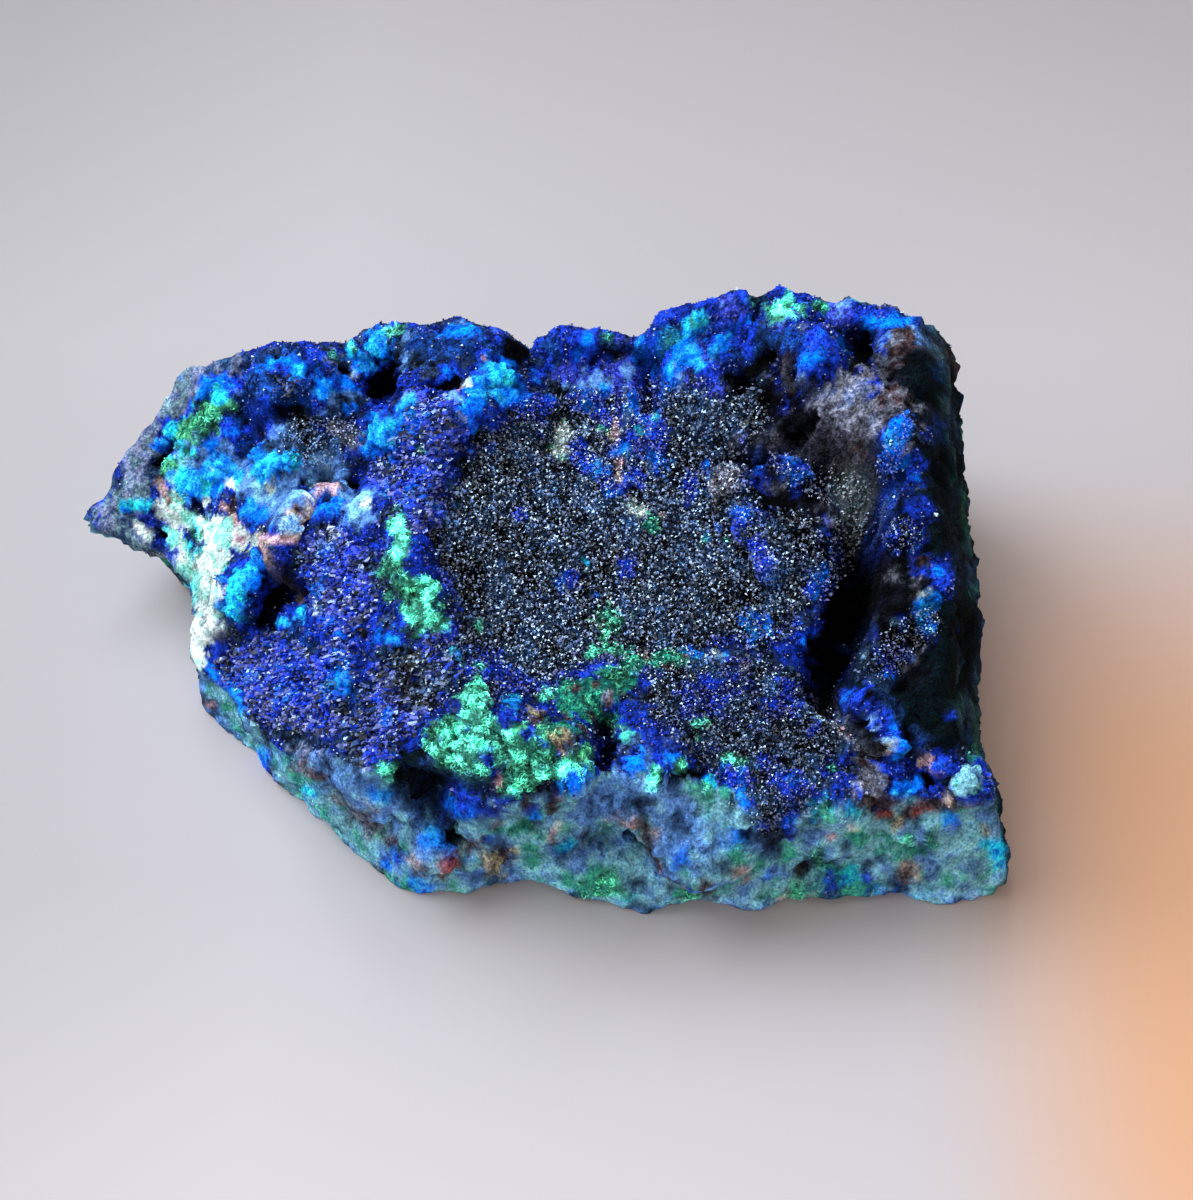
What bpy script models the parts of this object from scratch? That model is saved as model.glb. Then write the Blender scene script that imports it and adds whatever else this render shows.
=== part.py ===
"""Azurite and malachite specimen: a broken piece of ore with a hollow of azurite crystals in its top.

The rock is a box of small faces. Each corner of the box has three shares, across, back and up, and
is moved to a place worked out from stations round the rim and the foot, spot heights on the top,
named ridges, grooves and knobs, and seeded noise. The crystals of the hollow are a thin crust with
pointed flat-faced crystals, and the smaller druses are points raised from the rock's own faces.
Sizes are in millimetres, and become metres when a mesh is finished. +X is the specimen's right,
+Y its back and +Z up; it rests on Z = 0.
"""
import math
from itertools import product

import bmesh
import bpy
import numpy as np
from mathutils import Vector

MM = 0.001
SEED = 7

# The middle of the rock's outline in plan, which goes over the origin
MIDDLE = (-2.30, 0.30)
# Cells of the box across, back and down its sides
ACROSS, DEEP, DOWN = 56, 34, 6

# Stations round the rock, each with its rim point and its foot point: x, y, z, x, y, z
FRONT = (
    (-18.6, -25.5, 20.0, -18.9, -28.4, 0.2),
    (-15.6, -25.4, 21.0, -17.2, -29.6, 0.0),
    (-12.4, -27.7, 18.5, -13.6, -30.6, 0.4),
    (-7.9, -29.3, 19.0, -8.9, -30.5, 0.6),
    (-4.0, -30.2, 20.5, -4.9, -30.1, 1.2),
    (1.9, -28.8, 21.5, 0.9, -30.5, 1.4),
    (7.6, -26.6, 20.5, 6.4, -31.7, 0.3),
    (11.7, -27.6, 21.0, 11.0, -32.8, 0.0),
    (17.2, -28.4, 20.5, 16.4, -32.2, 0.4),
    (22.0, -30.4, 20.0, 23.2, -32.4, 0.0),
    (25.8, -30.0, 20.0, 27.8, -31.8, 1.4),
    (29.6, -29.6, 20.5, 31.9, -31.4, 1.6),
    (35.4, -29.0, 20.0, 38.1, -31.5, 1.2),
    (42.4, -28.8, 19.0, 44.8, -32.1, 0.2),
    (49.0, -28.0, 17.5, 52.9, -30.9, 0.3),
)
RIGHT = (
    (49.0, -28.0, 17.5, 52.9, -30.9, 0.3),
    (48.0, -26.0, 19.0, 53.0, -27.5, 0.0),
    (44.5, -24.0, 22.0, 52.2, -22.7, 0.0),
    (42.9, -20.5, 26.0, 51.2, -18.2, 0.4),
    (43.9, -15.5, 29.5, 50.9, -9.0, 0.0),
    (44.8, -10.6, 32.0, 51.4, -2.0, 0.5),
    (43.3, -6.0, 34.5, 51.8, 6.5, 0.0),
    (42.3, 0.0, 36.5, 51.2, 13.0, 0.0),
    (42.4, 8.2, 38.5, 50.8, 17.0, 0.3),
    (42.6, 16.5, 40.0, 50.4, 21.5, 0.2),
    (42.4, 21.7, 40.0, 50.2, 25.6, 0.0),
)
BACK = (
    (-57.6, 14.5, 12.0, -47.0, 13.0, 0.6),
    (-54.1, 17.4, 14.5, -46.5, 17.0, 0.4),
    (-51.6, 21.2, 18.0, -46.5, 22.0, 0.0),
    (-47.3, 25.0, 21.0, -45.0, 27.0, 0.3),
    (-44.3, 28.4, 24.0, -42.0, 31.5, 0.0),
    (-38.8, 28.4, 26.0, -37.0, 34.0, 0.2),
    (-33.7, 28.6, 27.0, -32.0, 34.5, 0.0),
    (-28.3, 27.8, 27.5, -27.0, 33.5, 0.6),
    (-25.4, 28.7, 28.0, -24.0, 33.0, 0.3),
    (-20.6, 30.2, 30.0, -19.0, 34.5, 0.0),
    (-11.3, 29.6, 32.0, -11.0, 35.5, 0.0),
    (-6.4, 27.8, 31.5, -6.0, 34.0, 0.2),
    (-2.2, 26.5, 29.5, -2.0, 32.0, 0.5),
    (1.7, 27.4, 31.5, 3.0, 31.5, 0.3),
    (6.0, 26.8, 32.5, 8.0, 31.0, 0.0),
    (11.1, 25.6, 33.0, 13.0, 31.5, 0.0),
    (13.7, 26.0, 36.0, 16.0, 32.0, 0.4),
    (21.1, 25.4, 40.0, 22.0, 33.5, 0.0),
    (23.2, 25.2, 41.0, 26.0, 34.0, 0.0),
    (28.3, 24.6, 41.5, 32.0, 33.0, 0.3),
    (34.0, 23.3, 41.5, 39.0, 31.5, 0.0),
    (38.6, 22.2, 41.0, 45.0, 29.5, 0.0),
    (42.4, 21.7, 40.0, 50.2, 25.6, 0.0),
)
LEFT = (
    (-18.6, -25.5, 20.0, -18.9, -28.4, 0.2),
    (-22.3, -23.2, 18.5, -24.0, -24.7, 0.0),
    (-26.4, -20.2, 13.0, -27.6, -20.7, 0.5),
    (-30.4, -18.0, 9.0, -31.4, -17.4, 0.0),
    (-33.9, -13.7, 7.5, -35.1, -12.4, 0.3),
    (-37.1, -8.9, 7.5, -38.4, -9.1, 0.0),
    (-41.9, -4.6, 8.0, -42.4, -5.8, 0.0),
    (-43.4, -2.1, 8.0, -41.5, -1.0, 0.2),
    (-42.9, 1.6, 8.5, -41.0, 3.5, 0.0),
    (-44.4, 6.5, 9.5, -41.5, 8.0, 0.0),
    (-47.8, 10.9, 10.5, -43.0, 10.0, 0.2),
    (-52.3, 12.5, 11.5, -45.0, 11.0, 0.3),
    (-57.6, 14.5, 12.0, -47.0, 13.0, 0.6),
)
# How soon the sides reach the foot's line on their way down: 1 is straight, more is a full shoulder
SHOULDER_FRONT, SHOULDER_BACK, SHOULDER_RIGHT = 1.15, 1.9, 3.6

# Heights of the top at spots between its small features: x, y, z. A spot's pull fades over SPOT_REACH
SPOT_REACH = 10.0
SPOTS = (
    (-50, 17.0, 15.5), (-41, 22.5, 20.5), (-31.5, 23.5, 27.5), (-33, 16, 21), (-40, 10, 15.5),
    (-30.5, 9, 19.5), (-36, -0.5, 16), (-38.5, -4, 10.5), (-31.5, -12, 11.5), (-23.5, -13.5, 17.5),
    (-26, 2, 20), (-22, 12, 22.5), (-22, 20, 24.5), (-13.5, -18.5, 21.5), (-17.5, 1, 25.5),
    (-15, -8, 24.5), (-11.5, 24, 31.5), (-16, 18.5, 28), (-12.5, 12.5, 27.5), (6.5, 1, 24),
    (6.5, 18, 26.5), (6.5, -13, 22.5), (-5, 8, 25), (18, 8, 25.5), (18, -8, 24), (6.5, -19, 22.5),
    (-5, -23.5, 23), (2, -25, 22.5), (15.5, -20, 23), (24.5, -22.5, 22.5), (25.5, -7, 25),
    (26, -14.5, 24), (30, 20, 38), (22, 15, 31), (33.5, 14.5, 36), (38.5, 6, 35.5), (39.5, -4, 33),
    (34, 0, 29), (38.5, -12.5, 28.5), (37, -21, 23), (44, -26, 19.5),
)
# Long lumps and hollows of the top. Each has its height, its half width and the line that it follows
RIDGES = (
    (2.6, 2.4, ((-12.5, 15), (-13.5, 9), (-14.5, 3), (-16, -3))),  # left crest of the hollow
    (2.2, 2.0, ((-18, 17.5), (-13, 18.5), (-8, 17))),  # crystal bank behind it
    (2.4, 1.6, ((21.5, 7.5), (23.5, 1.5), (27, -4.5))),  # right crest of the hollow
    (3.0, 3.0, ((32, 17), (36, 12), (39, 6.5))),  # matt ridge at the right
    (2.4, 1.5, ((40.5, 9), (41, 4), (41.3, 0))),  # blue knobs along the right rim
    (2.6, 1.7, ((44, -9.5), (39, -12.5), (36, -14.5))),  # blue ridge before the cleft
    (2.2, 1.6, ((33.4, -18.6), (36.4, -21.4), (38, -25.5))),  # blue ridge beyond the crack
    (2.4, 2.0, ((28, 21), (31, 17.5), (31.5, 14))),  # tongue that hangs from the peak
    (1.6, 1.2, ((-29, 10.5), (-31.5, 7.5), (-31.8, 3))),  # pale ribs on the left
    (1.2, 1.6, ((-18.5, 5), (-17, -1), (-14, -9))),  # green streak beside the hollow
    (3.0, 2.6, ((-10, -22), (-4, -24), (2.5, -25.5))),  # green mass at the front
    (1.4, 1.6, ((-3, -29.2), (2.5, -27.6))),  # green bar below it
    (-12.5, 2.8, ((36.4, 1.5), (36.4, -4.5), (34.8, -9.5), (32.6, -14), (31.2, -17))),  # deep cleft
    (-6.0, 1.8, ((22.5, 10), (28, 9.5), (33.5, 5.5), (36, 1.5))),  # gully behind the crest
    (-4.5, 1.1, ((32, -18.5), (33.8, -21), (35.6, -24))),  # crack
    (-2.6, 1.1, ((-14.8, 20.5), (-12, 20.2), (-9.6, 22))),  # crack in the back left mound
    (-3.2, 1.6, ((-37.2, 26), (-36.4, 19.5))),  # trough at the far left
    (-4.0, 1.5, ((7, -21), (7.5, -26))),  # channel right of the green mass
    (-3.0, 1.1, ((15, -23.2), (17.5, -26.2), (22.5, -29))),  # undercut line of the front lobe
    (-3.0, 1.5, ((12.5, 25), (12.3, 20.5))),  # gully in the saddle
)
# Round lumps and pits, pushed out or in along the surface: x, y, z, reach, height
KNOBS = (
    (-35.8, -0.5, 17, 3.2, 2.6),  # azure knob
    (-31.8, -0.5, 17, 2.2, -4.5),  # pit beside it
    (-34, -4, 14, 1.8, -3.0),  # and its tail
    (-19.9, 27.0, 26, 2.2, -6.5),  # black hole in the back left mound
    (-20.4, 23.5, 26, 2.0, -4.0),
    (-31.4, 24.0, 27, 4.5, 1.8),
    (-27.5, 13.5, 21, 1.4, -2.2),
    (-23.5, 14.0, 22, 1.4, -2.0),
    (-22.0, 7.0, 22, 3.0, 1.4),
    (22.9, 20.0, 33, 1.9, -5.0),
    (26.8, 20.8, 35, 1.8, -5.0),
    (36.4, 19.6, 37, 2.2, -5.0),
    (24.5, 24.6, 40, 1.5, -2.5),
    (20.5, 7.6, 27, 2.4, 2.2),
    (19.3, 7.8, 28, 0.9, -1.8),
    (28.1, 7.8, 28, 2.0, 1.8),
    (34.5, -0.2, 31, 2.6, 1.8),
    (40.3, -4.5, 33, 2.4, 1.6),
    (17.4, -30.0, 10.5, 5.6, 4.0),  # rounded lump of the front face
    (11.7, -26.2, 21, 3.4, 1.8),
    (10.4, -30.8, 10, 2.0, -2.6),
    (-13.5, -28.0, 16.5, 3.4, -5.0),  # recess under the green mass
    (-12.6, -29.8, 8, 2.2, 2.2),
    (-9.8, -29.5, 9.5, 1.8, -2.6),
    (3.0, -26.8, 21, 2.2, 1.6),
    (43.4, -26.4, 21, 2.0, 2.4),
    (46.8, -26.6, 18.5, 1.7, 1.8),
    (33.0, -28.8, 18, 3.0, 1.4),
    (6.0, -31.0, 4, 4.0, 0.8),
    (48.5, 23.0, 32, 3.0, 0.9),
    (-45.0, 28.0, 12, 6.0, 1.5),
    (-5.0, 33.0, 14, 7.0, 2.0),
    (20.0, 33.0, 20, 7.0, -2.2),
    (40.0, 30.0, 14, 7.0, 2.0),
)

# The hollow: its middle, its reach every 30 degrees from the right, and how far its floor is sunk
HOLLOW = (6.5, 1.0)
HOLLOW_REACH = (17.5, 15.5, 19.5, 19.0, 19.5, 22.0, 20.0, 18.5, 20.0, 15.0, 17.0, 21.0)
HOLLOW_DEPTH, HOLLOW_EDGE = 1.9, 0.10
# The crust on its floor: the gap under it, how thick it is at its edge and more towards the middle
CRUST_GAP, CRUST_EDGE, CRUST_SWELL = 0.35, 0.7, 1.0
CRUST_POINT, CRUST_LEAN = (0.5, 1.3), 0.3

# Druses keep this share of the hollow's reach away from it, and their points lean this far
HOLLOW_CLEAR, DRUSE_LEAN = 1.12, 0.4
# Druses on the rock itself: x, y, reach along, reach across, turn in degrees, lowest and highest point
DRUSES = (
    (-29.5, -9.5, 11.5, 7.5, -42, 0.7, 1.5),
    (22.0, -19.0, 12.5, 7.5, -8, 0.6, 1.4),
    (-14.5, 10.5, 4.0, 9.5, 8, 0.5, 1.2),
    (-14.5, -14.0, 6.0, 6.0, 0, 0.4, 1.0),
    (12.0, 22.5, 10.0, 4.0, 0, 0.4, 1.0),
    (33.0, -1.5, 3.0, 6.0, 20, 0.4, 0.9),
)

# The roughness of the break: size of its lumps and how far they stand out
ROUGHNESS = ((10.0, 1.2), (5.0, 0.8), (2.7, 0.35))
# Round knobs all over it: their size, how far they stand out, and how far from the mean they start
LUMP_SIZE, LUMP_RISE, LUMP_LEVEL = 6.0, 2.2, 0.6
SIDEWAYS = 0.35
# Odd numbers that scramble a lattice cell's three coordinates and the seed
SCRAMBLE = np.array((374761393, 668265263, 362437, 974711, 1274126177), np.int64)
LOW_BITS = 0xFFFFFFFF


def mixed(cell, seed):
    """A scrambled whole number for each lattice cell, from its three coordinates and the seed."""
    total = (cell @ SCRAMBLE[:3] + seed * SCRAMBLE[3]) & LOW_BITS
    total = ((total ^ (total >> 13)) * SCRAMBLE[4]) & LOW_BITS
    return total ^ (total >> 16)


def random_places(code):
    """Three numbers from 0 to 1 for each scrambled whole number, ten of its bits for each."""
    return np.stack([(code >> shift) & 1023 for shift in (0, 10, 20)], -1) / 1023


def noise(points, size, seed):
    """Smooth noise near -1 to 1: a random slope at each lattice corner, blended by 6f^5-15f^4+10f^3."""
    place = np.asarray(points, float) / size
    base = np.floor(place).astype(np.int64)
    part = place - base
    fade = part ** 3 * (part * (part * 6 - 15) + 10)
    total = np.zeros(part.shape[:-1])
    for corner in product((0, 1), repeat=3):
        slopes = 2 * random_places(mixed(base + corner, seed)) - 1
        weight = np.prod(np.where(corner, fade, 1 - fade), -1)
        total += weight * np.sum(slopes * (part - corner), -1)
    return total


def lumps(points, size, seed):
    """Round knobs: one random place in each lattice cell, and a dome sqrt(1-d^2) on the nearest."""
    place = np.asarray(points, float) / size
    base = np.floor(place).astype(np.int64)
    nearest = np.full(place.shape[:-1], np.inf)
    for corner in product((-1, 0, 1), repeat=3):
        spot = base + corner + random_places(mixed(base + corner, seed))
        nearest = np.minimum(nearest, np.linalg.norm(place - spot, axis=-1))
    return np.sqrt(np.clip(1 - nearest ** 2, 0, 1))


def step(value, low, high):
    """0 below low, 1 above high, and 3t^2-2t^3 between."""
    share = np.clip((value - low) / (high - low), 0, 1)
    return share * share * (3 - 2 * share)


def side(stations, share):
    """Rim and foot at each share of a side's length, on straight lines between its stations."""
    table = np.array(stations, float)
    lengths = np.hypot(*np.diff(table[:, :2], axis=0).T)
    along = np.concatenate([[0], np.cumsum(lengths)]) / lengths.sum()
    return np.stack([np.interp(share, along, column) for column in table.T], -1)


def rim_and_foot(across, back):
    """Coons patch: the two pairs of opposite sides blended, less the blend of the four corners."""
    front, rear = side(FRONT, across), side(BACK, across)
    left, right = side(LEFT, back), side(RIGHT, back)
    a, b = across[..., None], back[..., None]
    corner = [np.array(row, float) for row in (FRONT[0], FRONT[-1], BACK[0], BACK[-1])]
    near, far = (1 - a) * corner[0] + a * corner[1], (1 - a) * corner[2] + a * corner[3]
    corners = (1 - b) * near + b * far
    return (1 - b) * front + b * rear + (1 - a) * left + a * right - corners


def line_distance(x, y, line):
    """The distance in plan from each point to the nearest stretch of a line of points."""
    nearest = np.full(np.shape(x), np.inf)
    for (x0, y0), (x1, y1) in zip(line, line[1:]):
        dx, dy = x1 - x0, y1 - y0
        share = np.clip(((x - x0) * dx + (y - y0) * dy) / (dx * dx + dy * dy), 0, 1)
        nearest = np.minimum(nearest, np.hypot(x - x0 - share * dx, y - y0 - share * dy))
    return nearest


def hollow_share(x, y):
    """Distance from the hollow's middle over its reach in that direction: 1 is its edge."""
    dx, dy = x - HOLLOW[0], y - HOLLOW[1]
    turn = np.degrees(np.arctan2(dy, dx)) % 360
    reach = np.interp(turn, np.arange(13) * 30, HOLLOW_REACH + HOLLOW_REACH[:1])
    return np.hypot(dx, dy) / reach


def spot_lift():
    """The spots' places and the pull of each, so that the top passes through every spot height."""
    spots = np.array(SPOTS, float)
    grid = np.stack(np.meshgrid(np.linspace(0, 1, 80), np.linspace(0, 1, 80)), -1)
    plain = rim_and_foot(grid[..., 0], grid[..., 1]).reshape(-1, 6)
    apart = np.hypot(*(plain[:, None, :2] - spots[None, :, :2]).transpose(2, 0, 1))
    missing = spots[:, 2] - plain[apart.argmin(0), 2]
    between = np.hypot(*(spots[:, None, :2] - spots[None, :, :2]).transpose(2, 0, 1))
    pulls = np.exp(-((between / SPOT_REACH) ** 2)) + 0.05 * np.eye(len(spots))
    return spots[:, :2], np.linalg.solve(pulls, missing)


def top_height(x, y, plain):
    """The rim's blend, plus the pull of the spots, the ridges and grooves, less the sunk hollow."""
    places, pulls = spot_lift()
    apart = np.hypot(x[..., None] - places[:, 0], y[..., None] - places[:, 1])
    height = plain + np.exp(-((apart / SPOT_REACH) ** 2)) @ pulls
    for rise, width, line in RIDGES:
        height = height + rise * np.exp(-((line_distance(x, y, line) / width) ** 2))
    inside = 1 - step(hollow_share(x, y), 1 - HOLLOW_EDGE, 1 + HOLLOW_EDGE)
    return height - HOLLOW_DEPTH * inside


def rock_point(across, back, up):
    """The smooth place of each share of the box, before noise and knobs."""
    both = rim_and_foot(across, back)
    rim, foot = both[..., :3], both[..., 3:]
    edge = np.minimum.reduce([across, 1 - across, back, 1 - back])
    settled = step(edge, 0, 0.055)
    crown = rim[..., 2] + settled * (top_height(rim[..., 0], rim[..., 1], rim[..., 2]) - rim[..., 2])
    shoulder = SHOULDER_FRONT + (SHOULDER_BACK - SHOULDER_FRONT) * back
    right = SHOULDER_FRONT + (SHOULDER_RIGHT - SHOULDER_FRONT) * back
    shoulder = shoulder + (right - shoulder) * step(across, 0.9, 1)
    lean = 1 - up ** shoulder
    plan = rim[..., :2] + (foot[..., :2] - rim[..., :2]) * lean[..., None]
    height = np.where(edge > 0, np.where(up > 0.5, crown, 0), foot[..., 2] + (crown - foot[..., 2]) * up)
    return np.concatenate([plan, height[..., None]], -1)


def roughened(points, normals, ground):
    """Noise and knobs moved along the normals, and less where ground is near 1."""
    out = np.zeros(len(points))
    for number, (size, reach) in enumerate(ROUGHNESS):
        out += reach * noise(points, size, SEED + number)
    out += LUMP_RISE * (lumps(points, LUMP_SIZE, SEED + 10) - LUMP_LEVEL)
    out *= 1 - 0.6 * ground
    for x, y, z, reach, rise in KNOBS:
        out += rise * np.exp(-(np.linalg.norm(points - (x, y, z), axis=1) / reach) ** 2)
    shift = np.stack([noise(points, 3.1, SEED + 20 + k) for k in range(3)], -1) * SIDEWAYS
    return points + normals * out[:, None] + shift * (1 - ground)[:, None]


def corners_of(mesh):
    """The places of a bmesh's corners as an array."""
    return np.array([corner.co for corner in mesh.verts], float)


def move_corners(mesh, places):
    """Puts the corners of a bmesh at the given places and refreshes its normals."""
    for corner, place in zip(mesh.verts, places):
        corner.co = place
    mesh.normal_update()


def divided_box():
    """A box from 0 to 1 with ACROSS by DEEP by DOWN cells on its faces."""
    box = bmesh.new()
    bmesh.ops.create_cube(box, size=1)
    bmesh.ops.translate(box, verts=box.verts, vec=(0.5, 0.5, 0.5))
    for axis, cells in enumerate((ACROSS, DEEP, DOWN)):
        edges = [e for e in box.edges if abs(e.verts[0].co[axis] - e.verts[1].co[axis]) > 0.5]
        bmesh.ops.subdivide_edges(box, edges=edges, cuts=cells - 1, use_grid_fill=True)
    return box


def in_druse(x, y, druse):
    """True where a place in plan is within a druse's turned ellipse."""
    turn = math.radians(druse[4])
    dx, dy = x - druse[0], y - druse[1]
    along = dx * math.cos(turn) + dy * math.sin(turn)
    aside = dy * math.cos(turn) - dx * math.sin(turn)
    return (along / druse[2]) ** 2 + (aside / druse[3]) ** 2 < 1


def raise_points(mesh, faces, low, high, lean, random):
    """Turns each face into a crystal point: poked, raised between low and high, and leaned a little."""
    for point in bmesh.ops.poke(mesh, faces=faces)["verts"]:
        rise = random.uniform(low, high)
        point.co += point.normal * rise + Vector(random.uniform(-lean, lean, 3))


def make_rock():
    """The rock as a bmesh in millimetres, with its top faces still whole, and those faces."""
    rock = divided_box()
    shares = corners_of(rock)
    top = [face for face in rock.faces if all(shares[v.index][2] > 0.999 for v in face.verts)]
    under = [face for face in rock.faces if all(shares[v.index][2] < 0.001 for v in face.verts)]
    rim = (shares[:, :2].min(1) < 0.001) | (shares[:, :2].max(1) > 0.999)
    smooth = rock_point(shares[:, 0], shares[:, 1], shares[:, 2])
    move_corners(rock, smooth)
    normals = np.array([corner.normal for corner in rock.verts], float)
    share = hollow_share(smooth[:, 0], smooth[:, 1])
    ground = (1 - step(share, 0.85, 1.1)) * (shares[:, 2] > 0.999)
    rough = roughened(smooth, normals, ground)
    rough[:, 2] = np.maximum(rough[:, 2], 0)
    rough[(shares[:, 2] < 0.001) & ~rim, 2] = 0
    rough[(shares[:, 2] < 0.001) & rim, 2] = smooth[(shares[:, 2] < 0.001) & rim, 2]
    move_corners(rock, rough)
    flat = [face for face in under if all(abs(v.co.z) < 1e-9 for v in face.verts)]
    bmesh.ops.dissolve_faces(rock, faces=flat)
    return rock, top


def make_crust(rock, top, random):
    """The hollow's crystals: a copy of the rock's faces there, lifted, thickened and pointed."""
    def share(face):
        middle = face.calc_center_median()
        return float(hollow_share(np.array(middle.x), np.array(middle.y)))

    floor = [face for face in top if share(face) < 1]
    crust = rock.copy()
    crust.faces.ensure_lookup_table()
    chosen = {face.index for face in floor}
    bmesh.ops.delete(crust, geom=[f for f in crust.faces if f.index not in chosen], context="FACES")
    under = list(crust.faces)
    upper = bmesh.ops.extrude_face_region(crust, geom=under, use_keep_orig=True)["geom"]
    raised = [part for part in upper if isinstance(part, bmesh.types.BMVert)]
    for corner in raised:
        middle = np.array(corner.co)
        swell = CRUST_SWELL * (1 - step(hollow_share(middle[0], middle[1]), 0.55, 1.0))
        corner.co.z += CRUST_EDGE + swell * (1 + 0.6 * noise(middle, 6.0, SEED + 40))
    bmesh.ops.translate(crust, verts=crust.verts, vec=(0, 0, CRUST_GAP))
    bmesh.ops.recalc_face_normals(crust, faces=crust.faces)
    crust.normal_update()
    tops = [part for part in upper if isinstance(part, bmesh.types.BMFace)]
    bmesh.ops.triangulate(crust, faces=under, quad_method="SHORT_EDGE")
    raise_points(crust, tops, *CRUST_POINT, CRUST_LEAN, random)
    bmesh.ops.triangulate(rock, faces=floor, quad_method="SHORT_EDGE")
    return crust


def add_druses(rock, top, random):
    """Points on the rock's own top faces, druse by druse, clear of the hollow and of the rim."""
    standing = [face for face in top if face.is_valid and len(face.verts) == 4]
    for druse in DRUSES:
        chosen = []
        for face in standing:
            middle = face.calc_center_median()
            clear = hollow_share(np.array(middle.x), np.array(middle.y)) > HOLLOW_CLEAR
            if clear and face.is_valid and in_druse(middle.x, middle.y, druse):
                chosen.append(face)
        raise_points(rock, chosen, druse[5], druse[6], DRUSE_LEAN, random)
        standing = [face for face in standing if face.is_valid and face not in chosen]


def finish(name, mesh, colour, roughness, group):
    """Moves a bmesh over the origin, turns it to metres and makes it a named object with its finish."""
    bmesh.ops.translate(mesh, verts=mesh.verts, vec=(-MIDDLE[0], -MIDDLE[1], 0))
    bmesh.ops.scale(mesh, verts=mesh.verts, vec=(MM, MM, MM))
    data = bpy.data.meshes.new(name)
    mesh.to_mesh(data)
    mesh.free()
    material = bpy.data.materials.new(name)
    material.use_nodes = True
    shader = material.node_tree.nodes["Principled BSDF"]
    shader.inputs["Base Color"].default_value = (*colour, 1)
    shader.inputs["Roughness"].default_value = roughness
    shader.inputs["Metallic"].default_value = 0
    data.materials.append(material)
    group.objects.link(bpy.data.objects.new(name, data))


def main():
    for thing in list(bpy.data.objects):
        bpy.data.objects.remove(thing)
    group = bpy.data.collections.new("azurite_malachite_specimen")
    bpy.context.scene.collection.children.link(group)
    random = np.random.default_rng(SEED)
    rock, top = make_rock()
    crust = make_crust(rock, top, random)
    add_druses(rock, top, random)
    finish("host_rock", rock, (0.035, 0.10, 0.25), 0.8, group)
    finish("azurite_druse", crust, (0.012, 0.016, 0.06), 0.25, group)


main()
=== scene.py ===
"""Azurite and malachite specimen: the looks of the ore, its crystals and its green growth.

The rock is one closed surface of small cells, worked out from the same stations, spots, ridges and
noise as its solid, with finer lumps on it. Minerals are brushed onto it along short lines, given in
pixels of the picture's own frame, and the crystals, crumbs and curls stand on the surface so made.
Sizes are in millimetres until a mesh is finished. +X is the specimen's right, +Y its back, +Z up.
"""
import math
from itertools import product

import bpy
import numpy as np
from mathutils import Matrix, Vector


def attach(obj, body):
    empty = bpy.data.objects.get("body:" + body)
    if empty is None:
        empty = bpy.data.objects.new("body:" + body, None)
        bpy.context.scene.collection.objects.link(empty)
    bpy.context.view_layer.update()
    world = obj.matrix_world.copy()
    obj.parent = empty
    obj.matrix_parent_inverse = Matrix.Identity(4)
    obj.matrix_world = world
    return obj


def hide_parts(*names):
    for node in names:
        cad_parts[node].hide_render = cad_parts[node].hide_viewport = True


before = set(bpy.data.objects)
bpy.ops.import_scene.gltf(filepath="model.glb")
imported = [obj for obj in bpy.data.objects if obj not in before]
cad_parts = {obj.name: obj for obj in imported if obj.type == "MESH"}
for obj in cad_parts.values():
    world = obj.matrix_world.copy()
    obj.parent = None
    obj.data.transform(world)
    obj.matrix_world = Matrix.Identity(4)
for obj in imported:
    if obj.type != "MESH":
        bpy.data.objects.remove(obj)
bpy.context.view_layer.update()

MM = 0.001
SEED = 7
MIDDLE = (-2.30, 0.30)

# Cells of the fine surface across the top, back along it and down its sides
ACROSS, DEEP, DOWN = 254, 162, 62
# The underside's rings, as shares of the foot's outline
UNDER_RINGS = (0.97, 0.6, 0.25)

# Stations round the rock, each with its rim point and its foot point: x, y, z, x, y, z
FRONT = (
    (-18.6, -25.5, 20.0, -18.9, -28.4, 0.2),
    (-15.6, -25.4, 21.0, -17.2, -29.6, 0.0),
    (-12.4, -27.7, 18.5, -13.6, -30.6, 0.4),
    (-7.9, -29.3, 19.0, -8.9, -30.5, 0.6),
    (-4.0, -30.2, 20.5, -4.9, -30.1, 1.2),
    (1.9, -28.8, 21.5, 0.9, -30.5, 1.4),
    (7.6, -26.6, 20.5, 6.4, -31.7, 0.3),
    (11.7, -27.6, 21.0, 11.0, -32.8, 0.0),
    (17.2, -28.4, 20.5, 16.4, -32.2, 0.4),
    (22.0, -30.4, 20.0, 23.2, -32.4, 0.0),
    (25.8, -30.0, 20.0, 27.8, -31.8, 1.4),
    (29.6, -29.6, 20.5, 31.9, -31.4, 1.6),
    (35.4, -29.0, 20.0, 38.1, -31.5, 1.2),
    (42.4, -28.8, 19.0, 44.8, -32.1, 0.2),
    (49.0, -28.0, 17.5, 52.9, -30.9, 0.3),
)
RIGHT = (
    FRONT[-1],
    (48.0, -26.0, 19.0, 53.0, -27.5, 0.0),
    (44.5, -24.0, 22.0, 52.2, -22.7, 0.0),
    (42.9, -20.5, 26.0, 51.2, -18.2, 0.4),
    (43.9, -15.5, 29.5, 50.9, -9.0, 0.0),
    (44.8, -10.6, 32.0, 51.4, -2.0, 0.5),
    (43.3, -6.0, 34.5, 51.8, 6.5, 0.0),
    (42.3, 0.0, 36.5, 51.2, 13.0, 0.0),
    (42.4, 8.2, 38.5, 50.8, 17.0, 0.3),
    (42.6, 16.5, 40.0, 50.4, 21.5, 0.2),
    (42.4, 21.7, 40.0, 50.2, 25.6, 0.0),
)
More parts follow.
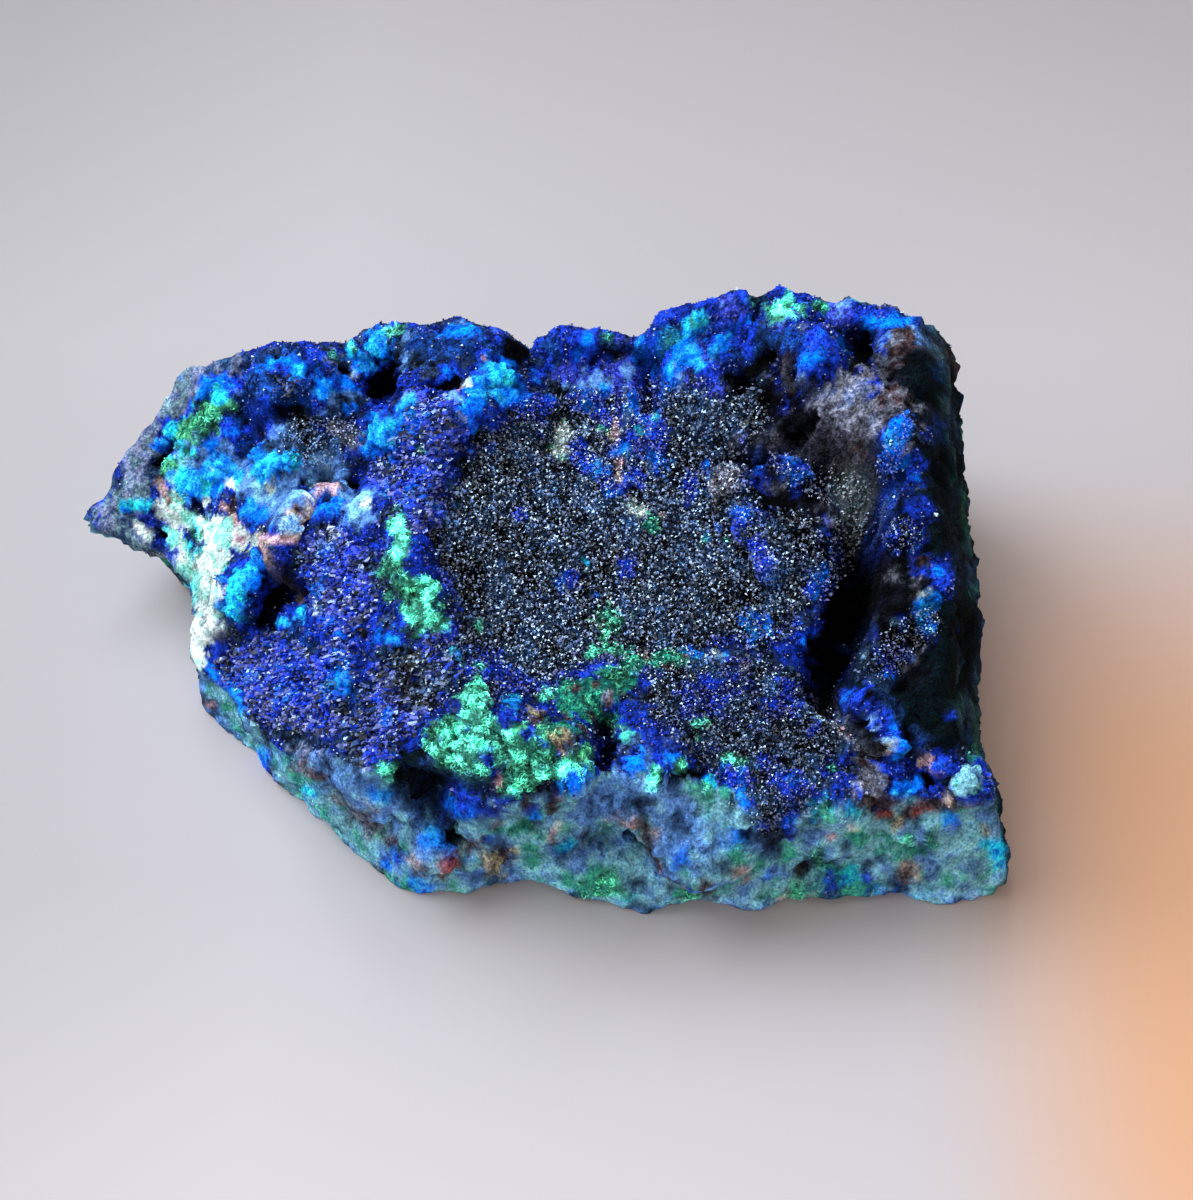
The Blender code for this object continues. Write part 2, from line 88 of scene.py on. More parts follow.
BACK = (
    (-57.6, 14.5, 12.0, -47.0, 13.0, 0.6),
    (-54.1, 17.4, 14.5, -46.5, 17.0, 0.4),
    (-51.6, 21.2, 18.0, -46.5, 22.0, 0.0),
    (-47.3, 25.0, 21.0, -45.0, 27.0, 0.3),
    (-44.3, 28.4, 24.0, -42.0, 31.5, 0.0),
    (-38.8, 28.4, 26.0, -37.0, 34.0, 0.2),
    (-33.7, 28.6, 27.0, -32.0, 34.5, 0.0),
    (-28.3, 27.8, 27.5, -27.0, 33.5, 0.6),
    (-25.4, 28.7, 28.0, -24.0, 33.0, 0.3),
    (-20.6, 30.2, 30.0, -19.0, 34.5, 0.0),
    (-11.3, 29.6, 32.0, -11.0, 35.5, 0.0),
    (-6.4, 27.8, 31.5, -6.0, 34.0, 0.2),
    (-2.2, 26.5, 29.5, -2.0, 32.0, 0.5),
    (1.7, 27.4, 31.5, 3.0, 31.5, 0.3),
    (6.0, 26.8, 32.5, 8.0, 31.0, 0.0),
    (11.1, 25.6, 33.0, 13.0, 31.5, 0.0),
    (13.7, 26.0, 36.0, 16.0, 32.0, 0.4),
    (21.1, 25.4, 40.0, 22.0, 33.5, 0.0),
    (23.2, 25.2, 41.0, 26.0, 34.0, 0.0),
    (28.3, 24.6, 41.5, 32.0, 33.0, 0.3),
    (34.0, 23.3, 41.5, 39.0, 31.5, 0.0),
    (38.6, 22.2, 41.0, 45.0, 29.5, 0.0),
    RIGHT[-1],
)
LEFT = (
    FRONT[0],
    (-22.3, -23.2, 18.5, -24.0, -24.7, 0.0),
    (-26.4, -20.2, 13.0, -27.6, -20.7, 0.5),
    (-30.4, -18.0, 9.0, -31.4, -17.4, 0.0),
    (-33.9, -13.7, 7.5, -35.1, -12.4, 0.3),
    (-37.1, -8.9, 7.5, -38.4, -9.1, 0.0),
    (-41.9, -4.6, 8.0, -42.4, -5.8, 0.0),
    (-43.4, -2.1, 8.0, -41.5, -1.0, 0.2),
    (-42.9, 1.6, 8.5, -41.0, 3.5, 0.0),
    (-44.4, 6.5, 9.5, -41.5, 8.0, 0.0),
    (-47.8, 10.9, 10.5, -43.0, 10.0, 0.2),
    (-52.3, 12.5, 11.5, -45.0, 11.0, 0.3),
    BACK[0],
)
# How the sides bulge between rim and foot: a power of the height at the front, back and right
SHOULDER_FRONT, SHOULDER_BACK, SHOULDER_RIGHT = 1.15, 1.9, 3.6
# Where along the width the right end's bulge starts
SHOULDER_START = 0.9
# The share of the width over which the rim's height gives way to the top's
RIM_SHARE = 0.055

# Heights of the top at spots between its small features: x, y, z
SPOT_REACH, SPOT_GRID, SPOT_SLACK = 10.0, 80, 0.05
SPOTS = (
    (-50, 17.0, 15.5), (-41, 22.5, 20.5), (-31.5, 23.5, 27.5), (-33, 16, 21), (-40, 10, 15.5),
    (-30.5, 9, 19.5), (-36, -0.5, 16), (-38.5, -4, 10.5), (-31.5, -12, 11.5), (-23.5, -13.5, 17.5),
    (-26, 2, 20), (-22, 12, 22.5), (-22, 20, 24.5), (-13.5, -18.5, 21.5), (-17.5, 1, 25.5),
    (-15, -8, 24.5), (-11.5, 24, 31.5), (-16, 18.5, 28), (-12.5, 12.5, 27.5), (6.5, 1, 24),
    (6.5, 18, 26.5), (6.5, -13, 22.5), (-5, 8, 25), (18, 8, 25.5), (18, -8, 24), (6.5, -19, 22.5),
    (-5, -23.5, 23), (2, -25, 22.5), (15.5, -20, 23), (24.5, -22.5, 22.5), (25.5, -7, 25),
    (26, -14.5, 24), (30, 20, 38), (22, 15, 31), (33.5, 14.5, 36), (38.5, 6, 35.5), (39.5, -4, 33),
    (34, 0, 29), (38.5, -12.5, 28.5), (37, -21, 23), (44, -26, 19.5),
)
# Long lumps and hollows of the top: height, half width, line
RIDGES = (
    (2.6, 2.4, ((-12.5, 15), (-13.5, 9), (-14.5, 3), (-16, -3))),
    (2.2, 2.0, ((-18, 17.5), (-13, 18.5), (-8, 17))),
    (2.4, 1.6, ((21.5, 7.5), (23.5, 1.5), (27, -4.5))),
    (3.0, 3.0, ((32, 17), (36, 12), (39, 6.5))),
    (2.4, 1.5, ((40.5, 9), (41, 4), (41.3, 0))),
    (2.6, 1.7, ((44, -9.5), (39, -12.5), (36, -14.5))),
    (2.2, 1.6, ((33.4, -18.6), (36.4, -21.4), (38, -25.5))),
    (2.4, 2.0, ((28, 21), (31, 17.5), (31.5, 14))),
    (1.6, 1.2, ((-29, 10.5), (-31.5, 7.5), (-31.8, 3))),
    (1.2, 1.6, ((-18.5, 5), (-17, -1), (-14, -9))),
    (3.0, 2.6, ((-10, -22), (-4, -24), (2.5, -25.5))),
    (1.4, 1.6, ((-3, -29.2), (2.5, -27.6))),
    (-12.5, 2.8, ((36.4, 1.5), (36.4, -4.5), (34.8, -9.5), (32.6, -14), (31.2, -17))),
    (-6.0, 1.8, ((22.5, 10), (28, 9.5), (33.5, 5.5), (36, 1.5))),
    (-4.5, 1.1, ((32, -18.5), (33.8, -21), (35.6, -24))),
    (-2.6, 1.1, ((-14.8, 20.5), (-12, 20.2), (-9.6, 22))),
    (-3.2, 1.6, ((-37.2, 26), (-36.4, 19.5))),
    (-4.0, 1.5, ((7, -21), (7.5, -26))),
    (-3.0, 1.1, ((15, -23.2), (17.5, -26.2), (22.5, -29))),
    (-3.0, 1.5, ((12.5, 25), (12.3, 20.5))),
)
# Round lumps and pits: x, y, z, reach, height
KNOBS = (
    (-35.8, -0.5, 17, 3.2, 2.6), (-31.8, -0.5, 17, 2.2, -4.5), (-34, -4, 14, 1.8, -3.0),
    (-19.9, 27.0, 26, 2.2, -6.5), (-20.4, 23.5, 26, 2.0, -4.0), (-31.4, 24.0, 27, 4.5, 1.8),
    (-27.5, 13.5, 21, 1.4, -2.2), (-23.5, 14.0, 22, 1.4, -2.0), (-22.0, 7.0, 22, 3.0, 1.4),
    (22.9, 20.0, 33, 1.9, -5.0), (26.8, 20.8, 35, 1.8, -5.0), (36.4, 19.6, 37, 2.2, -5.0),
    (24.5, 24.6, 40, 1.5, -2.5), (20.5, 7.6, 27, 2.4, 2.2), (19.3, 7.8, 28, 0.9, -1.8),
    (28.1, 7.8, 28, 2.0, 1.8), (34.5, -0.2, 31, 2.6, 1.8), (40.3, -4.5, 33, 2.4, 1.6),
    (17.4, -30.0, 10.5, 5.6, 4.0), (11.7, -26.2, 21, 3.4, 1.8), (10.4, -30.8, 10, 2.0, -2.6),
    (-13.5, -28.0, 16.5, 3.4, -5.0), (-12.6, -29.8, 8, 2.2, 2.2), (-9.8, -29.5, 9.5, 1.8, -2.6),
    (3.0, -26.8, 21, 2.2, 1.6), (43.4, -26.4, 21, 2.0, 2.4), (46.8, -26.6, 18.5, 1.7, 1.8),
    (33.0, -28.8, 18, 3.0, 1.4), (6.0, -31.0, 4, 4.0, 0.8),
    (48.5, 23.0, 32, 3.0, 0.9), (-45.0, 28.0, 12, 6.0, 1.5),
    (-5.0, 33.0, 14, 7.0, 2.0), (20.0, 33.0, 20, 7.0, -2.2), (40.0, 30.0, 14, 7.0, 2.0),
)
# The hollow: its middle, its reach every 30 degrees from the right, and how its floor lies
HOLLOW = (6.5, 1.0)
HOLLOW_REACH = (17.5, 15.5, 19.5, 19.0, 19.5, 22.0, 20.0, 18.5, 20.0, 15.0, 17.0, 21.0)
HOLLOW_DEPTH, HOLLOW_EDGE = 1.9, 0.10
CRUST_LIFT, CRUST_SWELL, CRUST_RAMP = 1.2, 0.9, (0.55, 1.0)
GROUND_RAMP = (0.85, 1.1)

# The roughness of the break: size of its lumps and how far they stand out
ROUGHNESS = ((10.0, 1.2), (5.0, 0.8), (2.7, 0.35))
LUMP_SIZE, LUMP_RISE, LUMP_LEVEL = 6.0, 2.2, 0.6
GROUND_CALM = 0.6
SIDEWAYS_SIZE, SIDEWAYS = 3.1, 0.35
# Noise that shakes brush lines: size in mm, shift as a share of the radius, most shift in pixels
SHAKES = ((4.0, 0.35, 12), (1.5, 0.45, 8), (0.7, 0.40, 5))
# How much of the height the patterns follow, so that they stand upright on the walls
UPRIGHT = (1, 1, 0.6)
# Noise by which a finish wanders to its neighbours: size in mm and weight
WANDER = ((3.4, 0.6), (1.5, 0.5), (0.8, 0.25))
HIGH_RAMP, LOW_RAMP = (0.55, 1.1), (0.7, 1.3)
# Light and dark mottling: size in mm and weight, its strength, and how much less pale places have
MOTTLE, MOTTLE_STRENGTH, PALE_CALM = ((2.2, 0.45), (1.1, 0.25)), 2.2, 0.8
# Noise that tears the green growth into ribs, where it starts, and how dark the gaps are as painted shade
TORN, TORN_RAMP, TORN_SHADE = ((0.95, 1.0), (0.5, 0.6)), (-0.12, 0.05), 0.8
GROWTH_RAMP = (0.1, 0.4)
# Finer lumps, which the solid doesn't have: size, how far they stand out, and whether they are round
FINE_LUMPS = ((2.6, 0.50, True), (1.5, 0.38, False), (1.15, 0.42, True), (0.75, 0.24, False))
# Steep walls of the top: the upward part of the normal, then how much darker they are as painted shade,
# and how much calmer
STEEP_RAMP, STEEP_SHADE, STEEP_CALM, SIDE_CALM, CALM_ROUNDS = (0.2, 0.5), 0.45, 0.7, 0.6, 4
GROUND_RELIEF, BACK_RELIEF = 0.25, 0.8
# Painted shade in sunk places and painted light on raised ones: its weight, the rounds of smoothing and
# the reach in mm
SUNK_SHADING = ((0.42, 3, 0.35), (0.62, 36, 1.3))
SHADING_LEAST, SHADING_MOST = 0.1, 1.45

# What is added to the seed for each use of noise
LUMP_SEED, SIDEWAYS_SEED, PATCH_SEED, SHAKE_SEED = SEED + 10, SEED + 20, SEED + 60, SEED + 120
FINE_SEED, WANDER_SEED, MOTTLE_SEED, TORN_SEED = SEED + 140, SEED + 200, SEED + 220, SEED + 222

# Odd numbers that scramble a lattice cell's three coordinates and the seed
SCRAMBLE = np.array((374761393, 668265263, 362437, 974711, 1274126177), np.int64)
LOW_BITS = 0xFFFFFFFF

# The camera: the point it looks at in mm, its height in degrees, distance in mm and upright angle
LOOK_AT = np.array((8.2, -0.3, 15.0))
CAMERA_RISE, CAMERA_FAR, CAMERA_ANGLE = math.radians(55), 228.0, math.radians(35)
PICTURE_WIDE, PICTURE_HIGH = 1193, 1200
# How squarely a surface has to face the camera to be brushed, and a brush line's soft edge
FACING_RAMP, BRUSH_RAMP = (-0.02, 0.14), (0.8, 1.15)
# The most that shaking can widen a brush line: a share of its radius and pixels
SHAKE_SHARE, SHAKE_PIXELS = 1.2, 16

# Columns of a finish as numbers
MAIN, SECOND, LIGHT = slice(0, 3), slice(3, 6), slice(0, 6)
SHARE, ROUGH, RELIEF, GLINT, GROWTH = 6, 7, 8, 9, 10
# Finishes: main colour and second colour in sRGB, the second's share, roughness, relief, glint,
# growth, and the finishes that it wanders to where its noise is high and low
COATS = {
    "dark druse": ((4, 10, 20), (48, 70, 106), 0.34, 0.40, 0.7, 1.0, 0, "slate", "black"),
    "blue druse": ((16, 46, 158), (6, 18, 60), 0.42, 0.42, 0.9, 1.0, 0, "ultramarine", "dark druse"),
    "violet druse": ((58, 78, 206), (18, 24, 96), 0.38, 0.45, 0.9, 0.9, 0, "denim", "dark druse"),
    "royal": ((20, 68, 150), (8, 30, 78), 0.42, 0.60, 1.0, 0.8, 0, "ultramarine", "navy"),
    "ultramarine": ((24, 64, 206), (8, 26, 116), 0.28, 0.60, 1.0, 0.7, 0, "azure", "blue druse"),
    "azure": ((4, 120, 245), (8, 70, 190), 0.30, 0.75, 1.0, 0.35, 0, "sky", "ultramarine"),
    "sky": ((44, 176, 250), (8, 116, 235), 0.36, 0.80, 1.0, 0.25, 0, "turquoise", "azure"),
    "turquoise": ((40, 206, 214), (14, 120, 220), 0.34, 0.75, 1.0, 0.2, 0.1, "mint", "azure"),
    "mint": ((122, 255, 224), (70, 212, 178), 0.26, 0.80, 0.28, 0, 1.0, "mint", "leaf"),
    "leaf": ((84, 196, 154), (36, 110, 94), 0.42, 0.80, 0.5, 0, 0.6, "mint", "sheet"),
    "foam": ((146, 226, 212), (92, 192, 172), 0.36, 0.85, 0.5, 0, 0, "chalk", "turquoise"),
    "lead": ((108, 140, 152), (60, 84, 104), 0.42, 0.85, 0.8, 0, 0, "mauve", "slate"),
    "lime": ((104, 212, 150), (44, 158, 122), 0.40, 0.80, 1.0, 0, 0.3, "turquoise", "leaf"),
    "sheet": ((44, 156, 122), (20, 86, 84), 0.45, 0.65, 0.9, 0, 0.25, "leaf", "umber"),
    "chalk": ((214, 231, 229), (174, 217, 211), 0.30, 0.90, 0.35, 0, 0, "chalk", "foam"),
    "rose": ((188, 158, 168), (128, 100, 110), 0.30, 0.85, 0.6, 0, 0, "chalk", "beige"),
    "beige": ((168, 156, 142), (104, 96, 98), 0.40, 0.85, 1.0, 0, 0, "rose", "umber"),
    "limonite": ((112, 118, 134), (56, 60, 72), 0.42, 0.90, 1.5, 0.1, 0, "mauve", "umber"),
    "umber": ((84, 66, 66), (32, 28, 34), 0.45, 0.90, 1.0, 0, 0, "limonite", "black"),
    "rust": ((142, 52, 44), (80, 36, 36), 0.35, 0.85, 1.0, 0, 0, "rust", "umber"),
    "slate": ((46, 78, 116), (20, 38, 68), 0.42, 0.75, 0.8, 0.4, 0, "denim", "black"),
    "black": ((1, 2, 5), (5, 8, 15), 0.35, 0.85, 1.0, 0.1, 0, "night", "black"),
    # dark shade: a dark grey used as painted shade on the slopes right of the hollow and on the right wall
    "dark shade": ((24, 29, 42), (9, 12, 20), 0.40, 0.85, 1.2, 0.1, 0, "limonite", "black"),
    "denim": ((94, 145, 208), (66, 108, 172), 0.36, 0.85, 0.6, 0.1, 0, "teal", "slate"),
    "teal": ((126, 193, 208), (92, 155, 186), 0.34, 0.80, 0.55, 0, 0, "moss", "denim"),
    "moss": ((60, 168, 138), (38, 122, 120), 0.36, 0.80, 0.6, 0, 0.05, "leaf", "slate"),
    "cyan": ((20, 204, 244), (10, 110, 210), 0.36, 0.75, 0.8, 0.1, 0, "turquoise", "azure"),
    "ice": ((150, 200, 236), (64, 124, 196), 0.40, 0.70, 0.7, 0.3, 0, "chalk", "denim"),
    "night": ((3, 8, 14), (4, 17, 22), 0.40, 0.80, 1.3, 0.1, 0, "night", "black"),
    "navy": ((20, 46, 92), (10, 24, 50), 0.40, 0.85, 0.9, 0, 0, "slate", "black"),
    "olive": ((172, 168, 130), (84, 84, 72), 0.45, 0.85, 1.0, 0, 0, "beige", "umber"),
    "mauve": ((118, 128, 154), (60, 78, 116), 0.42, 0.80, 0.9, 0.1, 0, "lead", "slate"),
}
# The finishes of a weathered break, each with the size of its patches and how common it is
WEATHERED = (
    ("slate", 14, 0.06), ("teal", 12, 0.02), ("denim", 13, 0.0), ("night", 11, -0.12),
    ("moss", 10, -0.04), ("umber", 9, -0.14), ("azure", 9, -0.12), ("beige", 8, -0.20),
)
WEATHERED_EDGE = 24.0
# The patches' own noise: the part of their size, and weight; seeds of the parts stand 20 apart
PATCH_LAYERS, PATCH_APART = ((1, 1.0), (3, 0.4), (9, 0.45)), 20
# The break's dark right end, partly its own near-black colour and partly painted shade on faces turned
# away from the light: how dark, then the normal's X and the place's X in mm where it starts
RIGHT_DARK_AND_SHADE, RIGHT_NORMAL, RIGHT_PLACE = 0.85, (0.3, 0.8), (30, 42)
# Where the top turns blue: the upward part of the normal; below it the top stays near black, partly as
# painted shade
BLUE_RAMP = (-0.1, 0.35)

# Brush lines in the picture's pixels, painted in this order: a finish, then lines of x, y, radius
PAINT = (
    ("lead", (98, 517, 10, 126, 500, 18, 141, 478, 10), (170, 400, 14, 200, 372, 12, 232, 362, 9),
     (140, 450, 12, 145, 425, 12), (110, 528, 8, 140, 538, 10)),
    # Painted shade: dark grey over the slopes right of the hollow, the cleft and the right wall
    ("dark shade", (745, 400, 34, 800, 440, 46, 850, 480, 36), (905, 365, 26, 912, 440, 16), (860, 540, 26),
     (890, 560, 26, 905, 640, 26, 930, 700, 22), (800, 500, 30), (870, 600, 30)),
    ("slate", (240, 405, 12, 242, 455, 12), (297, 436, 30), (340, 400, 22), (410, 350, 24, 466, 340, 22),
     (536, 356, 9), (900, 350, 24), (300, 745, 20)),
    ("mauve", (200, 368, 14, 178, 392, 11, 164, 412, 8), (238, 362, 11, 205, 366, 12),
     (142, 430, 10, 137, 455, 9, 133, 478, 9), (300, 750, 9, 345, 778, 12, 380, 806, 10),
     (332, 362, 8, 350, 372, 8), (808, 334, 11)),
    ("denim", (190, 470, 26, 240, 470, 30), (330, 470, 22, 270, 500, 26), (330, 770, 18, 380, 792, 17),
     (400, 815, 18, 430, 832, 14), (590, 812, 20, 645, 780, 26), (610, 795, 18, 680, 800, 26),
     (690, 838, 36), (450, 392, 10), (345, 515, 26), (470, 812, 26)),
    ("teal", (217, 690, 8, 236, 713, 9, 256, 740, 9), (284, 772, 8, 310, 794, 10, 335, 820, 13),
     (353, 832, 15, 378, 855, 13, 400, 868, 8), (530, 850, 22, 560, 880, 16),
     (600, 876, 30, 655, 880, 24), (780, 850, 40, 700, 890, 14),
     (845, 835, 30, 905, 845, 38, 965, 850, 40), (705, 800, 18, 750, 812, 18), (462, 884, 10),
     (980, 880, 20), (940, 850, 40), (964, 783, 13), (978, 818, 12)),
    # navy here is partly painted shade: the recess under the green ledge and the drop right of the lower
    # lobe
    ("navy", (420, 775, 34, 440, 800, 26), (470, 800, 16), (880, 700, 20, 905, 740, 22)),
    ("dark druse", (478, 520, 46, 500, 620, 46, 545, 645, 44), (520, 470, 50, 600, 440, 42),
     (600, 540, 95, 620, 600, 70), (700, 560, 75, 690, 470, 50), (680, 420, 38, 745, 410, 32),
     (760, 600, 50, 790, 550, 40), (690, 700, 48, 752, 690, 34, 820, 735, 40),
     (725, 750, 24, 800, 770, 34), (690, 610, 50), (400, 655, 16, 425, 690, 24),
     (355, 735, 18, 375, 700, 16), (470, 690, 20), (800, 540, 26), (560, 400, 20), (880, 660, 30)),
    ("blue druse", (430, 420, 30, 470, 425, 18), (400, 470, 26, 415, 512, 22),
     (330, 560, 40, 350, 600, 30), (265, 655, 30, 305, 680, 36), (275, 695, 34, 320, 715, 20),
     (385, 740, 22, 375, 690, 18), (300, 380, 34), (260, 385, 24), (723, 693, 26, 700, 700, 20),
     (778, 701, 20), (560, 360, 22), (640, 360, 26), (740, 340, 40), (840, 330, 22), (905, 530, 22),
     (820, 580, 16), (445, 655, 14)),
    ("violet druse", (580, 370, 20, 630, 372, 22), (632, 404, 17, 630, 445, 17),
     (705, 354, 20, 734, 316, 18), (697, 387, 14, 719, 388, 10), (880, 343, 12), (838, 313, 13),
     (450, 425, 14), (384, 480, 14), (778, 332, 14), (575, 372, 12, 600, 395, 16), (629, 343, 10),
     (314, 553, 15), (408, 401, 11), (262, 668, 26, 300, 690, 26), (340, 690, 16), (360, 570, 16),
     (690, 380, 16), (650, 395, 14)),
    ("royal", (262, 384, 26, 300, 376, 26), (290, 400, 18), (243, 410, 12, 243, 450, 10), (560, 352, 12),
     (742, 350, 22, 790, 345, 20), (300, 640, 14), (360, 700, 20), (425, 345, 16, 485, 348, 14),
     (870, 350, 20), (890, 470, 12, 905, 540, 14)),
    ("ultramarine", (306, 370, 9), (263, 401, 8), (230, 427, 8, 236, 440, 7), (395, 453, 15),
     (405, 466, 10), (423, 421, 15, 452, 417, 14), (467, 432, 12), (410, 450, 10, 419, 469, 9),
     (408, 500, 11, 421, 513, 13), (340, 562, 22, 319, 584, 20), (332, 597, 22, 358, 600, 16),
     (267, 651, 22, 300, 676, 18), (278, 690, 22, 305, 706, 18), (245, 681, 12), (384, 748, 12),
     (340, 653, 15, 332, 681, 12, 327, 712, 12), (569, 341, 9, 588, 343, 8), (580, 354, 10, 597, 361, 10),
     (647, 365, 12), (668, 382, 10, 647, 382, 10), (717, 334, 14, 745, 336, 12), (708, 371, 14),
     (752, 352, 9), (819, 345, 16, 832, 358, 13), (810, 367, 11), (575, 452, 12, 588, 465, 11),
     (600, 418, 11, 585, 400, 12), (655, 425, 12, 660, 460, 9), (640, 478, 9), (545, 405, 9),
     (665, 350, 12), (603, 480, 8), (630, 445, 12, 645, 408, 11), (691, 475, 9, 690, 493, 10),
     (762, 449, 5, 760, 471, 6), (775, 460, 5, 788, 475, 8), (801, 475, 7, 795, 493, 6),
     (741, 514, 6, 745, 534, 6), (758, 542, 5, 773, 577, 5), (819, 577, 13, 812, 592, 10),
     (899, 451, 10, 888, 467, 9), (903, 462, 7), (916, 480, 6), (876, 520, 6, 878, 538, 6),
     (908, 514, 11, 901, 536, 10), (921, 547, 8, 936, 549, 6), (940, 577, 9), (884, 654, 11, 888, 671, 9),
     (908, 654, 9), (847, 695, 6, 860, 706, 8), (875, 719, 8), (890, 771, 7, 864, 758, 8),
     (741, 784, 13, 730, 775, 8), (782, 782, 13, 800, 790, 13), (767, 764, 8), (814, 728, 8),
     (788, 827, 10), (942, 767, 12), (828, 879, 8), (871, 877, 9), (566, 582, 10), (629, 567, 11),
     (519, 517, 7), (806, 636, 7), (773, 643, 7), (456, 799, 14), (473, 806, 12, 495, 810, 10),
     (532, 810, 8), (860, 315, 9), (397, 723, 14)),
    ("azure", (205, 390, 9, 224, 382, 9), (158, 446, 7), (210, 447, 10), (188, 488, 12, 223, 488, 9),
     (249, 508, 13, 263, 523, 8), (244, 588, 14, 256, 572, 9), (325, 384, 11, 347, 388, 9), (351, 410, 6),
     (373, 449, 9, 371, 421, 9), (397, 423, 8), (325, 512, 15), (362, 362, 11), (254, 577, 13),
     (208, 664, 5, 236, 694, 5, 246, 711, 5), (340, 694, 9), (388, 636, 8), (419, 679, 6), (388, 863, 7),
     (447, 844, 9, 436, 829, 8), (427, 838, 8), (497, 371, 20, 510, 387, 19),
     (484, 391, 16, 467, 406, 13), (445, 376, 9), (519, 393, 9), (470, 335, 8, 440, 332, 6),
     (640, 352, 12, 668, 340, 10), (720, 345, 12), (389, 434, 10, 406, 430, 8), (406, 406, 9),
     (393, 487, 9), (668, 361, 14, 684, 343, 15), (693, 352, 11), (841, 345, 9),
     (871, 321, 8, 906, 321, 7), (627, 482, 7, 614, 489, 8), (706, 462, 5), (906, 423, 8, 895, 436, 8),
     (773, 577, 4), (756, 623, 14), (595, 599, 4), (932, 597, 8, 936, 605, 8),
     (919, 612, 10, 908, 623, 12), (929, 623, 10), (890, 736, 7, 897, 754, 6), (778, 769, 6),
     (897, 790, 8, 916, 786, 8), (919, 780, 5), (951, 819, 9), (571, 778, 9, 586, 771, 8), (562, 789, 4),
     (640, 763, 12), (673, 758, 6), (684, 856, 10), (688, 652, 6, 697, 655, 5), (377, 790, 8),
     (690, 330, 10), (773, 873, 8), (655, 410, 5), (386, 796, 8), (723, 658, 5), (632, 400, 9),
     (622, 452, 8), (600, 470, 7), (648, 436, 6), (270, 372, 7, 300, 366, 8), (606, 392, 6), (652, 402, 6)),
    ("sky", (240, 580, 7, 250, 566, 6), (214, 469, 15), (186, 478, 10, 232, 475, 9),
     (275, 467, 16, 292, 464, 10), (384, 432, 10), (391, 421, 6), (379, 341, 11),
     (236, 584, 13, 232, 605, 9), (512, 703, 9), (500, 378, 13), (488, 394, 7), (689, 330, 8),
     (814, 812, 7), (301, 616, 7), (284, 623, 6), (719, 529, 3), (200, 480, 9, 222, 462, 8),
     (700, 362, 6), (205, 492, 7), (260, 470, 10)),
    ("turquoise", (349, 352, 8), (384, 348, 8), (689, 654, 7), (458, 655, 8), (823, 812, 8, 828, 800, 5),
     (854, 803, 10), (697, 317, 7, 668, 343, 6), (123, 505, 6, 146, 504, 7), (706, 539, 4), (586, 567, 5),
     (310, 792, 8), (571, 839, 5, 560, 847, 6), (629, 893, 7), (658, 873, 4), (854, 871, 8, 841, 879, 6),
     (655, 417, 4), (708, 782, 7), (201, 553, 8), (638, 432, 5)),
    ("mint", (388, 333, 6, 400, 330, 4), (332, 357, 4), (402, 513, 5, 402, 549, 8, 393, 566, 9),
     (385, 572, 7), (406, 586, 10, 424, 598, 15), (410, 612, 11), (421, 624, 12, 438, 620, 8),
     (471, 683, 11, 475, 713, 12), (458, 724, 10, 438, 731, 8), (426, 741, 9, 436, 749, 9),
     (484, 730, 14, 500, 746, 18), (508, 739, 12, 516, 764, 14), (456, 742, 10, 474, 750, 11),
     (532, 773, 14, 545, 756, 11), (568, 758, 9, 588, 763, 7), (506, 789, 6, 532, 781, 8, 556, 773, 8),
     (566, 767, 6), (384, 768, 6, 395, 775, 6), (773, 312, 11, 786, 308, 8), (801, 312, 6), (606, 430, 5),
     (593, 652, 5, 619, 648, 6), (695, 723, 4, 708, 722, 3), (697, 737, 3), (728, 758, 5, 739, 766, 6),
     (747, 762, 4), (775, 838, 5), (727, 539, 3), (616, 630, 5), (182, 499, 9), (201, 529, 8),
     (205, 600, 6), (908, 836, 6), (481, 627, 5), (390, 600, 5), (549, 695, 6), (184, 540, 6)),
    ("leaf", (448, 758, 11, 466, 767, 8), (480, 772, 9), (548, 735, 12), (660, 769, 8, 655, 784, 6),
     (679, 765, 7), (423, 450, 5), (821, 306, 7), (832, 769, 4), (608, 341, 5), (932, 838, 9),
     (752, 300, 5), (608, 622, 14), (623, 674, 8), (614, 884, 10), (582, 713, 12), (760, 786, 3),
     (393, 526, 4), (586, 886, 10), (819, 856, 8), (532, 750, 8)),
    ("sheet", (567, 698, 13, 600, 690, 14, 625, 676, 10), (582, 713, 18), (608, 721, 14),
     (629, 663, 8, 679, 659, 7), (653, 524, 8), (560, 734, 11)),
    ("moss", (597, 880, 14), (629, 739, 9), (919, 851, 10), (567, 878, 9), (771, 851, 8), (882, 851, 8),
     (629, 655, 8), (687, 892, 8), (971, 590, 5), (973, 754, 7)),
    ("slate", (756, 842, 13, 770, 850, 10), (722, 868, 9), (806, 862, 9), (868, 862, 8), (905, 886, 7),
     (845, 846, 6), (640, 880, 8), (560, 856, 8)),
    ("denim", (930, 864, 10), (975, 868, 10), (600, 850, 10), (780, 872, 8)),
    ("dark druse", (762, 800, 17, 775, 832, 13), (730, 800, 8), (800, 806, 9), (655, 800, 5)),
    ("ultramarine", (790, 815, 9), (762, 822, 7), (748, 806, 6)),
    ("lime", (173, 432, 9, 184, 440, 11), (190, 430, 13, 203, 424, 14), (208, 412, 14, 220, 402, 12),
     (174, 463, 10, 164, 472, 6), (186, 451, 7), (584, 752, 7), (519, 728, 7)),
    ("foam", (170, 528, 9, 190, 558, 10, 200, 590, 9), (205, 520, 9, 215, 532, 7), (176, 500, 8),
     (214, 470, 4), (200, 570, 10, 204, 600, 9)),
    # chalk: white calcite; its dot at 869, 760 is a painted glint
